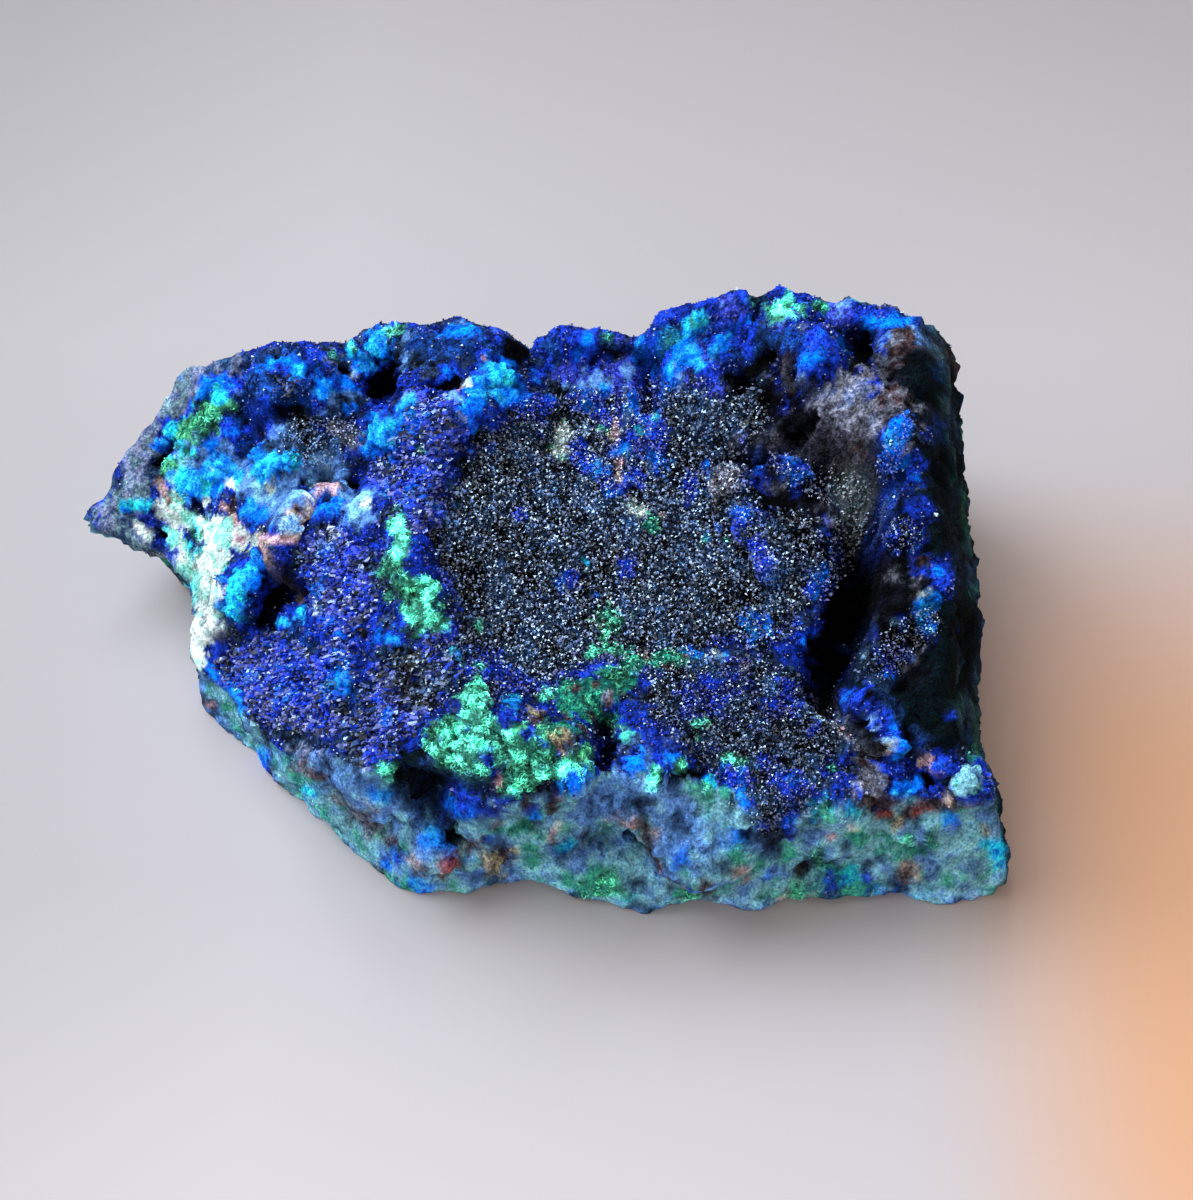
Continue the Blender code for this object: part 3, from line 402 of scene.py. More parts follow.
    ("chalk", (162, 507, 8, 178, 514, 9, 192, 520, 8), (208, 503, 4), (221, 522, 9, 240, 536, 8),
     (214, 543, 14, 240, 541, 10, 258, 545, 6), (220, 560, 10, 206, 562, 10),
     (210, 578, 10, 206, 606, 10), (210, 624, 14, 204, 642, 13), (198, 640, 11, 197, 664, 9),
     (136, 525, 4, 147, 538, 4), (230, 484, 4), (271, 486, 5), (366, 503, 5), (338, 536, 5),
     (469, 383, 6), (562, 432, 8, 560, 452, 7), (638, 510, 8), (465, 849, 3), (869, 760, 3),
     (821, 720, 3), (745, 423, 3)),
    ("rose", (240, 540, 6, 262, 541, 4), (268, 542, 3, 271, 556, 2.5, 276, 570, 2.5),
     (262, 539, 3, 296, 540, 3), (308, 497, 4, 321, 493, 4, 338, 491, 4), (616, 421, 3, 614, 441, 4),
     (620, 465, 5, 617, 482, 4), (851, 710, 2, 841, 700, 2), (558, 824, 5, 551, 834, 5), (501, 782, 7),
     (851, 829, 5), (832, 836, 4), (460, 388, 3), (413, 860, 6), (210, 705, 4),
     (224, 506, 3, 240, 527, 3), (299, 597, 5)),
    ("beige", (308, 508, 4, 297, 535, 4), (295, 508, 5, 284, 520, 4), (286, 584, 4),
     (158, 486, 6, 168, 500, 5), (927, 762, 7), (949, 797, 6), (651, 852, 3, 671, 874, 3), (662, 517, 3),
     (884, 749, 8), (908, 871, 12), (484, 358, 4), (739, 873, 9)),
    ("limonite", (832, 393, 17, 858, 384, 13), (888, 401, 14, 875, 419, 16), (849, 419, 22, 854, 440, 18),
     (862, 458, 11), (814, 401, 10), (728, 486, 12), (734, 445, 9), (838, 521, 11, 828, 508, 8),
     (828, 708, 9, 845, 730, 9), (860, 741, 8, 871, 782, 12), (886, 367, 14), (743, 665, 5),
     (360, 809, 11, 376, 827, 10), (608, 698, 7), (392, 840, 9), (340, 432, 10, 356, 438, 9)),
    # ice: pale crystals; its dots at 804, 378 and from 929, 589 to 919, 597 are painted glints
    ("ice", (288, 525, 11), (843, 497, 14, 866, 506, 11), (929, 589, 3, 919, 597, 3), (897, 621, 4),
     (864, 659, 3), (336, 443, 5), (325, 462, 9), (804, 378, 4), (718, 657, 5), (321, 608, 6),
     (588, 430, 4), (642, 793, 4), (806, 812, 4), (571, 862, 6), (447, 657, 5)),
    ("umber", (793, 356, 4, 786, 373, 4, 795, 389, 5), (293, 766, 5, 310, 770, 7, 323, 779, 6),
     (336, 794, 6, 341, 803, 4), (538, 721, 8), (638, 828, 8, 647, 845, 5), (903, 814, 6, 932, 801, 5),
     (858, 542, 6), (473, 842, 11), (705, 888, 10), (951, 686, 4), (608, 698, 5), (527, 802, 7),
     (575, 793, 5), (554, 802, 8), (801, 869, 8), (871, 797, 6), (232, 495, 3, 230, 510, 3),
     (840, 467, 9), (900, 345, 14), (423, 868, 9), (605, 769, 7), (925, 562, 6), (485, 835, 5)),
    ("rust", (445, 862, 10, 455, 856, 7), (442, 873, 5), (876, 815, 4, 890, 813, 4),
     (914, 811, 3, 930, 809, 3)),
    ("olive", (494, 862, 13, 509, 848, 6), (532, 713, 7), (554, 741, 9), (897, 823, 7), (484, 858, 7),
     (571, 744, 6), (984, 829, 5)),
    ("cyan", (995, 847, 10, 999, 862, 10), (810, 806, 4), (984, 842, 7)),
    # black: painted shade in the pits, holes, the cleft and the cracks, over their dents
    ("black", (387, 387, 14, 385, 366, 10), (280, 597, 7, 262, 626, 5), (305, 484, 6), (354, 483, 8),
     (157, 462, 4), (160, 534, 6), (346, 371, 6), (243, 420, 4), (275, 413, 6), (297, 411, 7),
     (420, 748, 7, 403, 762, 8, 400, 782, 6), (458, 822, 8, 456, 838, 8), (458, 382, 4, 430, 398, 5),
     (547, 447, 7), (642, 350, 5), (773, 360, 7, 739, 384, 9), (862, 352, 11, 854, 371, 6),
     (846, 534, 12, 850, 548, 12), (810, 425, 10, 790, 446, 13), (713, 449, 5), (710, 486, 6),
     (756, 497, 12, 778, 508, 13), (814, 488, 13, 832, 478, 8), (800, 536, 12),
     (854, 555, 16, 850, 584, 18), (849, 619, 17, 830, 650, 19), (820, 676, 17, 811, 688, 9),
     (872, 588, 18, 866, 612, 14), (640, 800, 6, 646, 840, 5), (610, 747, 7), (668, 780, 8, 700, 771, 6),
     (929, 782, 6), (467, 560, 13, 473, 593, 12), (510, 350, 11, 523, 357, 6), (752, 317, 6),
     (828, 806, 4), (397, 651, 7), (349, 731, 9), (456, 739, 4), (486, 739, 3), (745, 836, 7),
     (567, 395, 7), (425, 681, 8), (367, 634, 6)),
    ("ice", (872, 716, 2, 884, 732, 3, 890, 748, 3)),
    ("ultramarine", (862, 696, 6, 880, 712, 7, 896, 745, 6)),
    # Painted shade: the crack's black line
    ("black", (838, 692, 4, 851, 713, 6, 862, 728, 6, 872, 744, 5, 879, 760, 4)),
    # night on the right wall: partly its near-black mineral, partly painted shade on the side away from the
    # light
    ("night", (914, 362, 14, 930, 400, 18), (936, 460, 18, 942, 540, 18), (958, 600, 16, 950, 680, 28),
     (915, 700, 20, 950, 740, 18), (854, 682, 9), (610, 747, 9), (900, 470, 5, 910, 640, 6)),
)
# Brush lines of painted shade, in the same pixels, where the surface falls in shade: the share of light
# that is taken
PAINTED_SHADES = (
    (0.62, (765, 470, 26, 800, 500, 34), (770, 430, 24, 790, 400, 20), (815, 545, 18, 830, 600, 18),
     (880, 560, 22, 895, 640, 22), (905, 470, 10, 915, 560, 16), (915, 600, 26, 900, 660, 24),
     (850, 350, 18, 885, 360, 18), (780, 375, 24, 745, 395, 20)),
    (0.35, (700, 640, 10, 800, 660, 14), (300, 400, 24), (395, 790, 12, 440, 800, 16),
     (870, 760, 20, 900, 770, 16), (330, 722, 22, 380, 700, 22, 440, 676, 20), (590, 830, 8, 630, 850, 8),
     (480, 812, 14, 530, 816, 14)),
)
# Dents and swells of the fine surface: depth in mm (out is more than 0), then lines in picture pixels
MARKS = (
    (-2.2, (386, 388, 13, 385, 366, 9)),
    (-1.4, (280, 597, 9, 264, 624, 6)),
    (-2.2, (862, 728, 6, 872, 744, 6, 879, 760, 4)),
    (-2.0, (850, 600, 18, 826, 664, 14)),
    (-1.5, (456, 830, 9), (305, 484, 6), (354, 483, 8), (172, 440, 5, 157, 462, 5), (160, 534, 8),
     (638, 830, 9), (547, 447, 8), (739, 384, 9), (773, 360, 8), (790, 446, 12), (929, 782, 6)),
    (-1.1, (458, 382, 5, 430, 398, 5), (281, 413, 10), (713, 449, 6), (710, 486, 7), (668, 780, 9),
     (610, 747, 9, 605, 769, 7), (862, 352, 11), (346, 371, 7), (752, 317, 7), (810, 425, 9),
     (700, 771, 6), (456, 739, 5)),
    (-0.7, (232, 495, 4, 230, 512, 4), (397, 651, 8), (425, 681, 9), (349, 731, 10), (567, 395, 9),
     (828, 806, 5), (745, 836, 8), (608, 800, 6), (527, 802, 8), (800, 869, 8), (486, 739, 4),
     (197, 505, 5, 205, 520, 4), (262, 560, 5, 268, 590, 5), (871, 797, 7), (404, 776, 8)),
    (1.0, (240, 590, 20, 252, 580, 16), (288, 525, 11), (308, 497, 5, 338, 491, 5),
     (268, 542, 5, 277, 577, 5), (510, 788, 7, 532, 781, 8, 560, 771, 7), (728, 486, 11), (942, 767, 11),
     (964, 783, 12)),
    (0.9, (308, 508, 5, 297, 535, 5), (949, 797, 6), (775, 460, 6, 800, 478, 8),
     (762, 450, 5, 760, 470, 6), (741, 512, 6, 748, 536, 6, 773, 577, 5),
     (905, 424, 8, 899, 450, 9, 888, 467, 8), (873, 538, 6), (847, 695, 6, 875, 719, 7, 895, 750, 6),
     (571, 778, 9), (447, 844, 8), (888, 671, 9), (984, 784, 6)),
    (0.8, (821, 352, 14, 808, 368, 10), (421, 512, 13, 408, 498, 10), (384, 342, 10, 350, 352, 7),
     (214, 470, 12), (188, 440, 10, 220, 403, 10), (275, 467, 14), (497, 375, 16), (384, 432, 12),
     (452, 417, 12, 467, 430, 12), (569, 341, 8, 590, 343, 8), (325, 512, 14), (221, 545, 12),
     (208, 630, 12), (640, 763, 13), (475, 700, 9), (425, 600, 12)),
    (0.6, (269, 384, 18, 297, 371, 18), (340, 653, 14, 330, 700, 12), (690, 838, 26), (849, 419, 16),
     (888, 401, 10), (838, 521, 9), (788, 827, 8), (741, 784, 10), (782, 782, 12), (717, 334, 14),
     (684, 343, 12), (932, 600, 8), (908, 623, 9), (864, 519, 7), (445, 862, 9), (494, 862, 11)),
)
# Where the glossy crystals stand thick, in the same pixels: lines of x, y, radius
BASIN = (
    (478, 520, 46, 500, 620, 46, 548, 645, 46), (520, 470, 52, 600, 440, 50, 690, 425, 44),
    (600, 540, 95, 620, 600, 70), (700, 560, 75, 690, 470, 55), (760, 600, 48, 790, 550, 40),
    (745, 415, 26), (690, 620, 45), (455, 645, 16, 470, 668, 14),
)
LOBE = (
    (690, 700, 44, 760, 705, 46, 808, 740, 34), (720, 755, 22, 790, 780, 36), (800, 540, 24),
    (806, 480, 12, 853, 495, 18), (575, 398, 10, 650, 402, 10), (905, 424, 9, 888, 467, 11),
    (905, 535, 18), (820, 575, 18), (885, 660, 18, 925, 622, 16), (775, 462, 9, 800, 480, 10),
    (310, 440, 26, 345, 432, 16), (765, 812, 18), (850, 525, 16, 846, 556, 14),
    (495, 688, 12, 545, 686, 10), (640, 672, 8, 700, 668, 10), (545, 402, 10, 520, 410, 10),
)
BLADES = (
    (238, 668, 20, 270, 660, 28, 305, 690, 32), (270, 700, 26, 325, 712, 22),
    (345, 600, 30, 330, 560, 30), (400, 690, 34, 370, 740, 26, 440, 655, 22),
    (435, 425, 28, 410, 475, 26), (415, 512, 22), (290, 385, 10), (391, 474, 18), (340, 655, 16),
)


def mixed(cell, seed):
    """A scrambled whole number for each lattice cell, from its three coordinates and the seed."""
    total = (cell @ SCRAMBLE[:3] + seed * SCRAMBLE[3]) & LOW_BITS
    total = ((total ^ (total >> 13)) * SCRAMBLE[4]) & LOW_BITS
    return total ^ (total >> 16)


def random_places(code):
    """Three numbers from 0 to 1 for each scrambled whole number, ten of its bits for each."""
    return np.stack([(code >> shift) & 1023 for shift in (0, 10, 20)], -1) / 1023


def noise(points, size, seed):
    """Smooth noise near -1 to 1: a random slope at each lattice corner, blended by 6f^5-15f^4+10f^3."""
    place = np.asarray(points, float) / size
    base = np.floor(place).astype(np.int64)
    part = place - base
    fade = part ** 3 * (part * (part * 6 - 15) + 10)
    total = np.zeros(part.shape[:-1])
    for corner in product((0, 1), repeat=3):
        slopes = 2 * random_places(mixed(base + corner, seed)) - 1
        weight = np.prod(np.where(corner, fade, 1 - fade), -1)
        total += weight * np.sum(slopes * (part - corner), -1)
    return total


def layered(points, layers, seed, apart=1):
    """The sum of noises of several sizes, each times its weight, with its own seed."""
    return sum(weight * noise(points, size, seed + apart * k) for k, (size, weight) in enumerate(layers))


def lumps(points, size, seed):
    """Round knobs: one random place in each lattice cell, and a dome sqrt(1-d^2) on the nearest."""
    place = np.asarray(points, float) / size
    base = np.floor(place).astype(np.int64)
    nearest = np.full(place.shape[:-1], np.inf)
    for corner in product((-1, 0, 1), repeat=3):
        spot = base + corner + random_places(mixed(base + corner, seed))
        nearest = np.minimum(nearest, np.linalg.norm(place - spot, axis=-1))
    return np.sqrt(np.clip(1 - nearest ** 2, 0, 1))


def step(value, low, high):
    """0 below low, 1 above high, and 3t^2-2t^3 between."""
    share = np.clip((value - low) / (high - low), 0, 1)
    return share * share * (3 - 2 * share)


def unit(vectors):
    """Each vector divided by its length."""
    return vectors / np.maximum(np.linalg.norm(vectors, axis=-1, keepdims=True), 1e-12)


def side(stations, share):
    """Rim and foot at each share of a side's length, on straight lines between its stations."""
    table = np.array(stations, float)
    lengths = np.hypot(*np.diff(table[:, :2], axis=0).T)
    along = np.concatenate([[0], np.cumsum(lengths)]) / lengths.sum()
    return np.stack([np.interp(share, along, column) for column in table.T], -1)


def rim_and_foot(across, back):
    """Coons patch: the two pairs of opposite sides blended, less the blend of the four corners."""
    front, rear = side(FRONT, across), side(BACK, across)
    left, right = side(LEFT, back), side(RIGHT, back)
    a, b = across[..., None], back[..., None]
    corner = [np.array(row, float) for row in (FRONT[0], FRONT[-1], BACK[0], BACK[-1])]
    near, far = (1 - a) * corner[0] + a * corner[1], (1 - a) * corner[2] + a * corner[3]
    corners = (1 - b) * near + b * far
    return (1 - b) * front + b * rear + (1 - a) * left + a * right - corners


def line_distance(x, y, line):
    """The distance in plan from each point to the nearest stretch of a line of points."""
    nearest = np.full(np.shape(x), np.inf)
    for (x0, y0), (x1, y1) in zip(line, line[1:]):
        dx, dy = x1 - x0, y1 - y0
        share = np.clip(((x - x0) * dx + (y - y0) * dy) / (dx * dx + dy * dy), 0, 1)
        nearest = np.minimum(nearest, np.hypot(x - x0 - share * dx, y - y0 - share * dy))
    return nearest


def hollow_share(x, y):
    """Distance from the hollow's middle over its reach in that direction: 1 is its edge."""
    dx, dy = x - HOLLOW[0], y - HOLLOW[1]
    turn = np.degrees(np.arctan2(dy, dx)) % 360
    reach = np.interp(turn, np.linspace(0, 360, len(HOLLOW_REACH) + 1), HOLLOW_REACH + HOLLOW_REACH[:1])
    return np.hypot(dx, dy) / reach


def spot_lift():
    """The spots' places and the pull of each, so that the top passes through every spot height."""
    spots = np.array(SPOTS, float)
    shares = np.linspace(0, 1, SPOT_GRID)
    plain = rim_and_foot(*np.meshgrid(shares, shares)).reshape(-1, 6)
    apart = np.hypot(*(plain[:, None, :2] - spots[None, :, :2]).transpose(2, 0, 1))
    missing = spots[:, 2] - plain[apart.argmin(0), 2]
    between = np.hypot(*(spots[:, None, :2] - spots[None, :, :2]).transpose(2, 0, 1))
    pulls = np.exp(-((between / SPOT_REACH) ** 2)) + SPOT_SLACK * np.eye(len(spots))
    return spots[:, :2], np.linalg.solve(pulls, missing)


def top_height(x, y, plain):
    """The rim's blend, plus the pull of the spots, the ridges and grooves, less the sunk hollow."""
    places, pulls = spot_lift()
    apart = np.hypot(x[..., None] - places[:, 0], y[..., None] - places[:, 1])
    height = plain + np.exp(-((apart / SPOT_REACH) ** 2)) @ pulls
    for rise, width, line in RIDGES:
        height = height + rise * np.exp(-((line_distance(x, y, line) / width) ** 2))
    share = hollow_share(x, y)
    inside = 1 - step(share, 1 - HOLLOW_EDGE, 1 + HOLLOW_EDGE)
    crust = CRUST_LIFT + CRUST_SWELL * (1 - step(share, *CRUST_RAMP))
    return height - (HOLLOW_DEPTH - crust) * inside


def rock_point(across, back, up):
    """The smooth place of each share of the rock's box, before noise and knobs."""
    both = rim_and_foot(across, back)
    rim, foot = both[..., :3], both[..., 3:]
    edge = np.minimum.reduce([across, 1 - across, back, 1 - back])
    settled = step(edge, 0, RIM_SHARE)
    crown = rim[..., 2] + settled * (top_height(rim[..., 0], rim[..., 1], rim[..., 2]) - rim[..., 2])
    shoulder = SHOULDER_FRONT + (SHOULDER_BACK - SHOULDER_FRONT) * back
    right = SHOULDER_FRONT + (SHOULDER_RIGHT - SHOULDER_FRONT) * back
    shoulder = shoulder + (right - shoulder) * step(across, SHOULDER_START, 1)
    lean = 1 - up ** shoulder
    plan = rim[..., :2] + (foot[..., :2] - rim[..., :2]) * lean[..., None]
    height = foot[..., 2] + (crown - foot[..., 2]) * up
    return np.concatenate([plan, height[..., None]], -1)


def roughened(points, normals, ground):
    """Noise and knobs moved along the normals, and less where ground is near 1."""
    out = layered(points, ROUGHNESS, SEED)
    out += LUMP_RISE * (lumps(points, LUMP_SIZE, LUMP_SEED) - LUMP_LEVEL)
    out *= 1 - GROUND_CALM * ground
    for x, y, z, reach, rise in KNOBS:
        out += rise * np.exp(-(np.linalg.norm(points - (x, y, z), axis=1) / reach) ** 2)
    shift = [noise(points, SIDEWAYS_SIZE, SIDEWAYS_SEED + k) for k in range(3)]
    shift = np.stack(shift, -1) * SIDEWAYS
    return points + normals * out[:, None] + shift * (1 - ground)[:, None]


def linear(colour):
    """A colour from 0 to 255 as light: c/12.92 when dark, ((c+0.055)/1.055)^2.4 otherwise."""
    part = np.array(colour, float) / 255
    return np.where(part <= 0.04045, part / 12.92, ((part + 0.055) / 1.055) ** 2.4)


def rock_cells():
    """Shares of every point and the quads: the top's grid, then rings down the sides and in below."""
    across, back = np.meshgrid(np.linspace(0, 1, ACROSS + 1), np.linspace(0, 1, DEEP + 1))
    number = np.arange(across.size).reshape(across.shape)
    ring = np.concatenate([number[0, :-1], number[:-1, -1], number[-1, :0:-1], number[:0:-1, 0]])
    shares = [np.stack([across.ravel(), back.ravel(), np.ones(across.size)], -1)]
    corners = number[:-1, :-1], number[:-1, 1:], number[1:, 1:], number[1:, :-1]
    cells = [np.stack(corners, -1).reshape(-1, 4)]
    rings = [ring]
    start = across.size
    for level in range(1, DOWN + 1):
        up = np.full(len(ring), 1 - level / DOWN)
        shares.append(np.stack([across.ravel()[ring], back.ravel()[ring], up], -1))
        rings.append(start + np.arange(len(ring)))
        start += len(ring)
    for _ in UNDER_RINGS:
        rings.append(start + np.arange(len(ring)))
        start += len(ring)
    for upper, lower in zip(rings, rings[1:]):
        cells.append(np.stack([lower, np.roll(lower, -1), np.roll(upper, -1), upper], -1))
    last = rings[-1]
    fan = np.stack([np.full(len(last), start), np.roll(last, -1), last], -1)
    return np.concatenate(shares), np.concatenate(cells), fan, rings


def corner_normals(points, cells):
    """Unit normals at the corners: the sum of the crossed diagonals of the quads that meet there."""
    flat = np.cross(points[cells[:, 2]] - points[cells[:, 0]], points[cells[:, 3]] - points[cells[:, 1]])
    total = np.zeros_like(points)
    for axis in range(3):
        for corner in range(4):
            total[:, axis] += np.bincount(cells[:, corner], flat[:, axis], len(points))
    return unit(total)


def neighbour_mean(points, cells):
    """The mean of each corner's neighbours along the quads' edges."""
    total, count = np.zeros_like(points), np.zeros(len(points))
    for near, far in ((0, 1), (1, 2), (2, 3), (3, 0), (1, 0), (2, 1), (3, 2), (0, 3)):
        count += np.bincount(cells[:, near], minlength=len(points))
        for axis in range(points.shape[1]):
            total[:, axis] += np.bincount(cells[:, near], points[cells[:, far], axis], len(points))
    return total / np.maximum(count, 1)[:, None]


def smoothed(values, cells, rounds):
    """Values at the corners, replaced by their neighbours' mean a number of times."""
    for _ in range(rounds):
        values = neighbour_mean(values, cells)
    return values


def camera_frame():
    """Where the camera stands in mm, and its right, up and backward directions."""
    back = np.array((0, -math.cos(CAMERA_RISE), math.sin(CAMERA_RISE)))
    up = np.array((0, math.sin(CAMERA_RISE), math.cos(CAMERA_RISE)))
    return LOOK_AT + CAMERA_FAR * back, np.array((1.0, 0, 0)), up, back


def picture_places(points):
    """Where the camera sees points given in mm, in picture pixels: a pinhole's projection."""
    eye, right, up, back = camera_frame()
    focal = PICTURE_HIGH / 2 / math.tan(CAMERA_ANGLE / 2)
    away = points - eye
    depth = -(away @ back)
    return np.stack([PICTURE_WIDE / 2 + focal * (away @ right) / depth,
                     PICTURE_HIGH / 2 - focal * (away @ up) / depth], -1)


def brushed(places, shakes, line):
    """1 within a brush line and 0 outside: distance over radius, with the places shaken by noise."""
    dots = np.array(line, float).reshape(-1, 3)
    if len(dots) == 1:
        dots = np.repeat(dots, 2, 0)
    reach, widest = dots[:, 2].mean(), SHAKE_SHARE * dots[:, 2].max() + SHAKE_PIXELS
    inside = (places > dots[:, :2].min(0) - widest) & (places < dots[:, :2].max(0) + widest)
    near = np.flatnonzero(inside.all(1))
    shaken = places[near] + sum(shake[near] * min(share * reach, most) for shake, share, most in shakes)
    nearest = np.full(len(near), np.inf)
    for (x0, y0, r0), (x1, y1, r1) in zip(dots, dots[1:]):
        dx, dy = x1 - x0, y1 - y0
        along = (shaken[:, 0] - x0) * dx + (shaken[:, 1] - y0) * dy
        share = np.clip(along / max(dx * dx + dy * dy, 1e-9), 0, 1)
        away = np.hypot(shaken[:, 0] - x0 - share * dx, shaken[:, 1] - y0 - share * dy)
        nearest = np.minimum(nearest, away / (r0 + (r1 - r0) * share))
    total = np.zeros(len(places))
    total[near] = 1 - step(nearest, *BRUSH_RAMP)
    return total


def evened(field):
    """A field divided by its spread."""
    return field / field.std()


def coat_row(name):
    """A finish as numbers: two colours as light, share, roughness, relief, glint, growth."""
    main, second, *rest = COATS[name]
    return np.concatenate([linear(main), linear(second), rest[:-2]])


def coat_field(name, high, low):
    """A finish at every point: its own, and its neighbours' where the wandering is high or low."""
    own, above, below = (coat_row(key) for key in (name, *COATS[name][-2:]))
    return own + high[:, None] * (above - own) + low[:, None] * (below - own)


def weathered(points, normals, high, low):
    """The finish of a broken side: patches of noise, each weighted by e^(noise and bias); darker on
    faces turned right at the right end, partly the break's near-black colour and partly painted shade."""
    total, weights = 0, 0
    for number, (name, size, bias) in enumerate(WEATHERED):
        layers = [(size / part, weight) for part, weight in PATCH_LAYERS]
        field = layered(points, layers, PATCH_SEED + number, PATCH_APART)
        weight = np.exp(WEATHERED_EDGE * (field + bias))[:, None]
        total, weights = total + weight * coat_field(name, high, low), weights + weight
    coat = total / weights
    # Painted shade, with the break's own dark colour, on faces turned right at the right end
    dark = RIGHT_DARK_AND_SHADE * step(normals[:, 0], *RIGHT_NORMAL) * step(points[:, 0], *RIGHT_PLACE)
    return coat + dark[:, None] * (coat_field("night", high, low) - coat)


def painted(points, normals, on_top):
    """The finish at each point: weathered sides, blue on top, then every brush line that it faces."""
    eye = camera_frame()[0] + (MIDDLE[0], MIDDLE[1], 0)
    facing = step(np.sum(unit(eye - points) * normals, -1), *FACING_RAMP)
    places = picture_places(points - (MIDDLE[0], MIDDLE[1], 0))
    points = points * UPRIGHT
    shakes = []
    for number, (size, share, most) in enumerate(SHAKES):
        pair = [evened(noise(points, size, SHAKE_SEED + 10 * number + k)) / 2 for k in range(2)]
        shakes.append((np.stack(pair, -1), share, most))
    wander = evened(layered(points, WANDER, WANDER_SEED))
    high, low = step(wander, *HIGH_RAMP), step(-wander, *LOW_RAMP)
    coat = weathered(points, normals, high, low)
    # Faces of the top turned down or steep stay near black: partly painted shade
    coat = np.where(on_top[:, None], coat_field("night", high, low), coat)
    blue = (on_top * step(normals[:, 2], *BLUE_RAMP))[:, None]
    coat = coat + (coat_field("blue druse", high, low) - coat) * blue
    for name, *lines in PAINT:
        rows = coat_field(name, high, low)
        for line in lines:
            weight = brushed(places, shakes, line) * facing
            near = np.flatnonzero(weight)
            coat[near] += (rows[near] - coat[near]) * weight[near, None]
    # Painted shade: the colours are darkened along these lines
    for share, *lines in PAINTED_SHADES:
        for line in lines:
            coat[:, LIGHT] *= 1 - share * brushed(places, shakes, line)[:, None]
    mottle = layered(points, MOTTLE, MOTTLE_SEED) * (1 - PALE_CALM * coat[:, MAIN].min(1))
    coat[:, LIGHT] *= np.exp(MOTTLE_STRENGTH * mottle)[:, None]
    torn = step(layered(points, TORN, TORN_SEED), *TORN_RAMP)
    # Painted shade in the gaps of the torn growth
    coat[:, LIGHT] *= (1 - TORN_SHADE * step(coat[:, GROWTH], *GROWTH_RAMP) * (1 - torn))[:, None]
    coat[:, GROWTH] *= torn
    return coat, places, facing, shakes


def sunk(points, cells, normals, rounds, reach):
    """How far each point lies below the smoothed surface along its normal, over a reach in mm."""
    level = smoothed(points, cells, rounds)
    return np.clip(np.sum((level - points) * normals, -1) / reach, -1, 1)


def rock_surface():
    """The whole rock in mm: solid shape, marks, then fine lumps scaled by each finish's relief."""
    shares, cells, fan, rings = rock_cells()
    smooth = rock_point(shares[:, 0], shares[:, 1], shares[:, 2])
    outer = cells[(cells < len(smooth)).all(1)]
    on_top = shares[:, 2] > 0.999
    ground = (1 - step(hollow_share(smooth[:, 0], smooth[:, 1]), *GROUND_RAMP)) * on_top
    points = roughened(smooth, corner_normals(smooth, outer), ground)
    normals = corner_normals(points, outer)
    coat, places, facing, shakes = painted(points, normals, on_top)
    steep = (on_top * (1 - step(normals[:, 2], *STEEP_RAMP)))[:, None]
    calm = smoothed(coat, outer, CALM_ROUNDS)
    coat = coat + (calm - coat) * np.maximum(steep, SIDE_CALM * ((1 - on_top) * facing)[:, None])
    # Painted shade on the top's steep walls
    coat[:, LIGHT] *= 1 - STEEP_SHADE * steep
    coat[:, RELIEF] *= 1 - STEEP_CALM * steep[:, 0]
    relief = coat[:, RELIEF] * (1 - GROUND_RELIEF * ground)
    relief = relief * (1 + BACK_RELIEF * (1 - facing) * (1 - on_top))
    out = np.zeros(len(points))
    for depth, *lines in MARKS:
        for line in lines:
            out += depth * brushed(places, shakes, line) * facing
    for number, (size, rise, is_round) in enumerate(FINE_LUMPS):
        kind, level = (lumps, LUMP_LEVEL) if is_round else (noise, 0)
        out += rise * (kind(points * UPRIGHT, size, FINE_SEED + number) - level) * relief
    points = points + normals * out[:, None]
    foot = rings[DOWN]
    points[:, 2] = np.maximum(points[:, 2], 0)
    points[foot, 2] = smooth[foot, 2]
    under = [points[foot] * (share, share, 0) for share in UNDER_RINGS]
    points = np.concatenate([points, *under, np.zeros((1, 3))])
    coat = np.concatenate([coat, *[coat[foot] for _ in UNDER_RINGS], coat[foot[:1]]])
    rest = np.zeros(len(points) - len(facing))
    facing, steep = np.concatenate([facing, rest]), np.concatenate([steep[:, 0], rest])
    normals = corner_normals(points, cells)
    # Painted shade in hollows and creases, painted light on crests
    dark = sum(weight * sunk(points, cells, normals, rounds, reach) for weight, rounds, reach in SUNK_SHADING)
    coat[:, LIGHT] *= np.clip(1 - dark, SHADING_LEAST, SHADING_MOST)[:, None]
    return {"points": points, "cells": cells, "fan": fan, "normals": normals, "coat": coat,
            "facing": facing, "steep": steep, "places": picture_places(points - (*MIDDLE, 0))}


def finished(name, points, faces, material, numbers, node=None, smooth=False):
    """A mesh in metres over the origin, with its point attributes, as a piece that rides on root."""
    mesh = bpy.data.meshes.new(name)
    mesh.from_pydata(((points - (*MIDDLE, 0)) * MM).tolist(), [], faces)
    for key, values in numbers.items():
        kind = "FLOAT_COLOR" if values.ndim == 2 else "FLOAT"
        layer = mesh.attributes.new(key, kind, "POINT")
        if kind == "FLOAT_COLOR":
            values = np.concatenate([values, np.ones((len(values), 1))], -1)
            layer.data.foreach_set("color", values.astype(np.float32).ravel())
        else:
            layer.data.foreach_set("value", values.astype(np.float32))
    mesh.shade_smooth() if smooth else mesh.shade_flat()
    mesh.materials.append(material)
    piece = bpy.data.objects.new(name, mesh)
    bpy.context.scene.collection.objects.link(piece)
    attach(piece, "root")
    if node:
        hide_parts(node)
    return piece


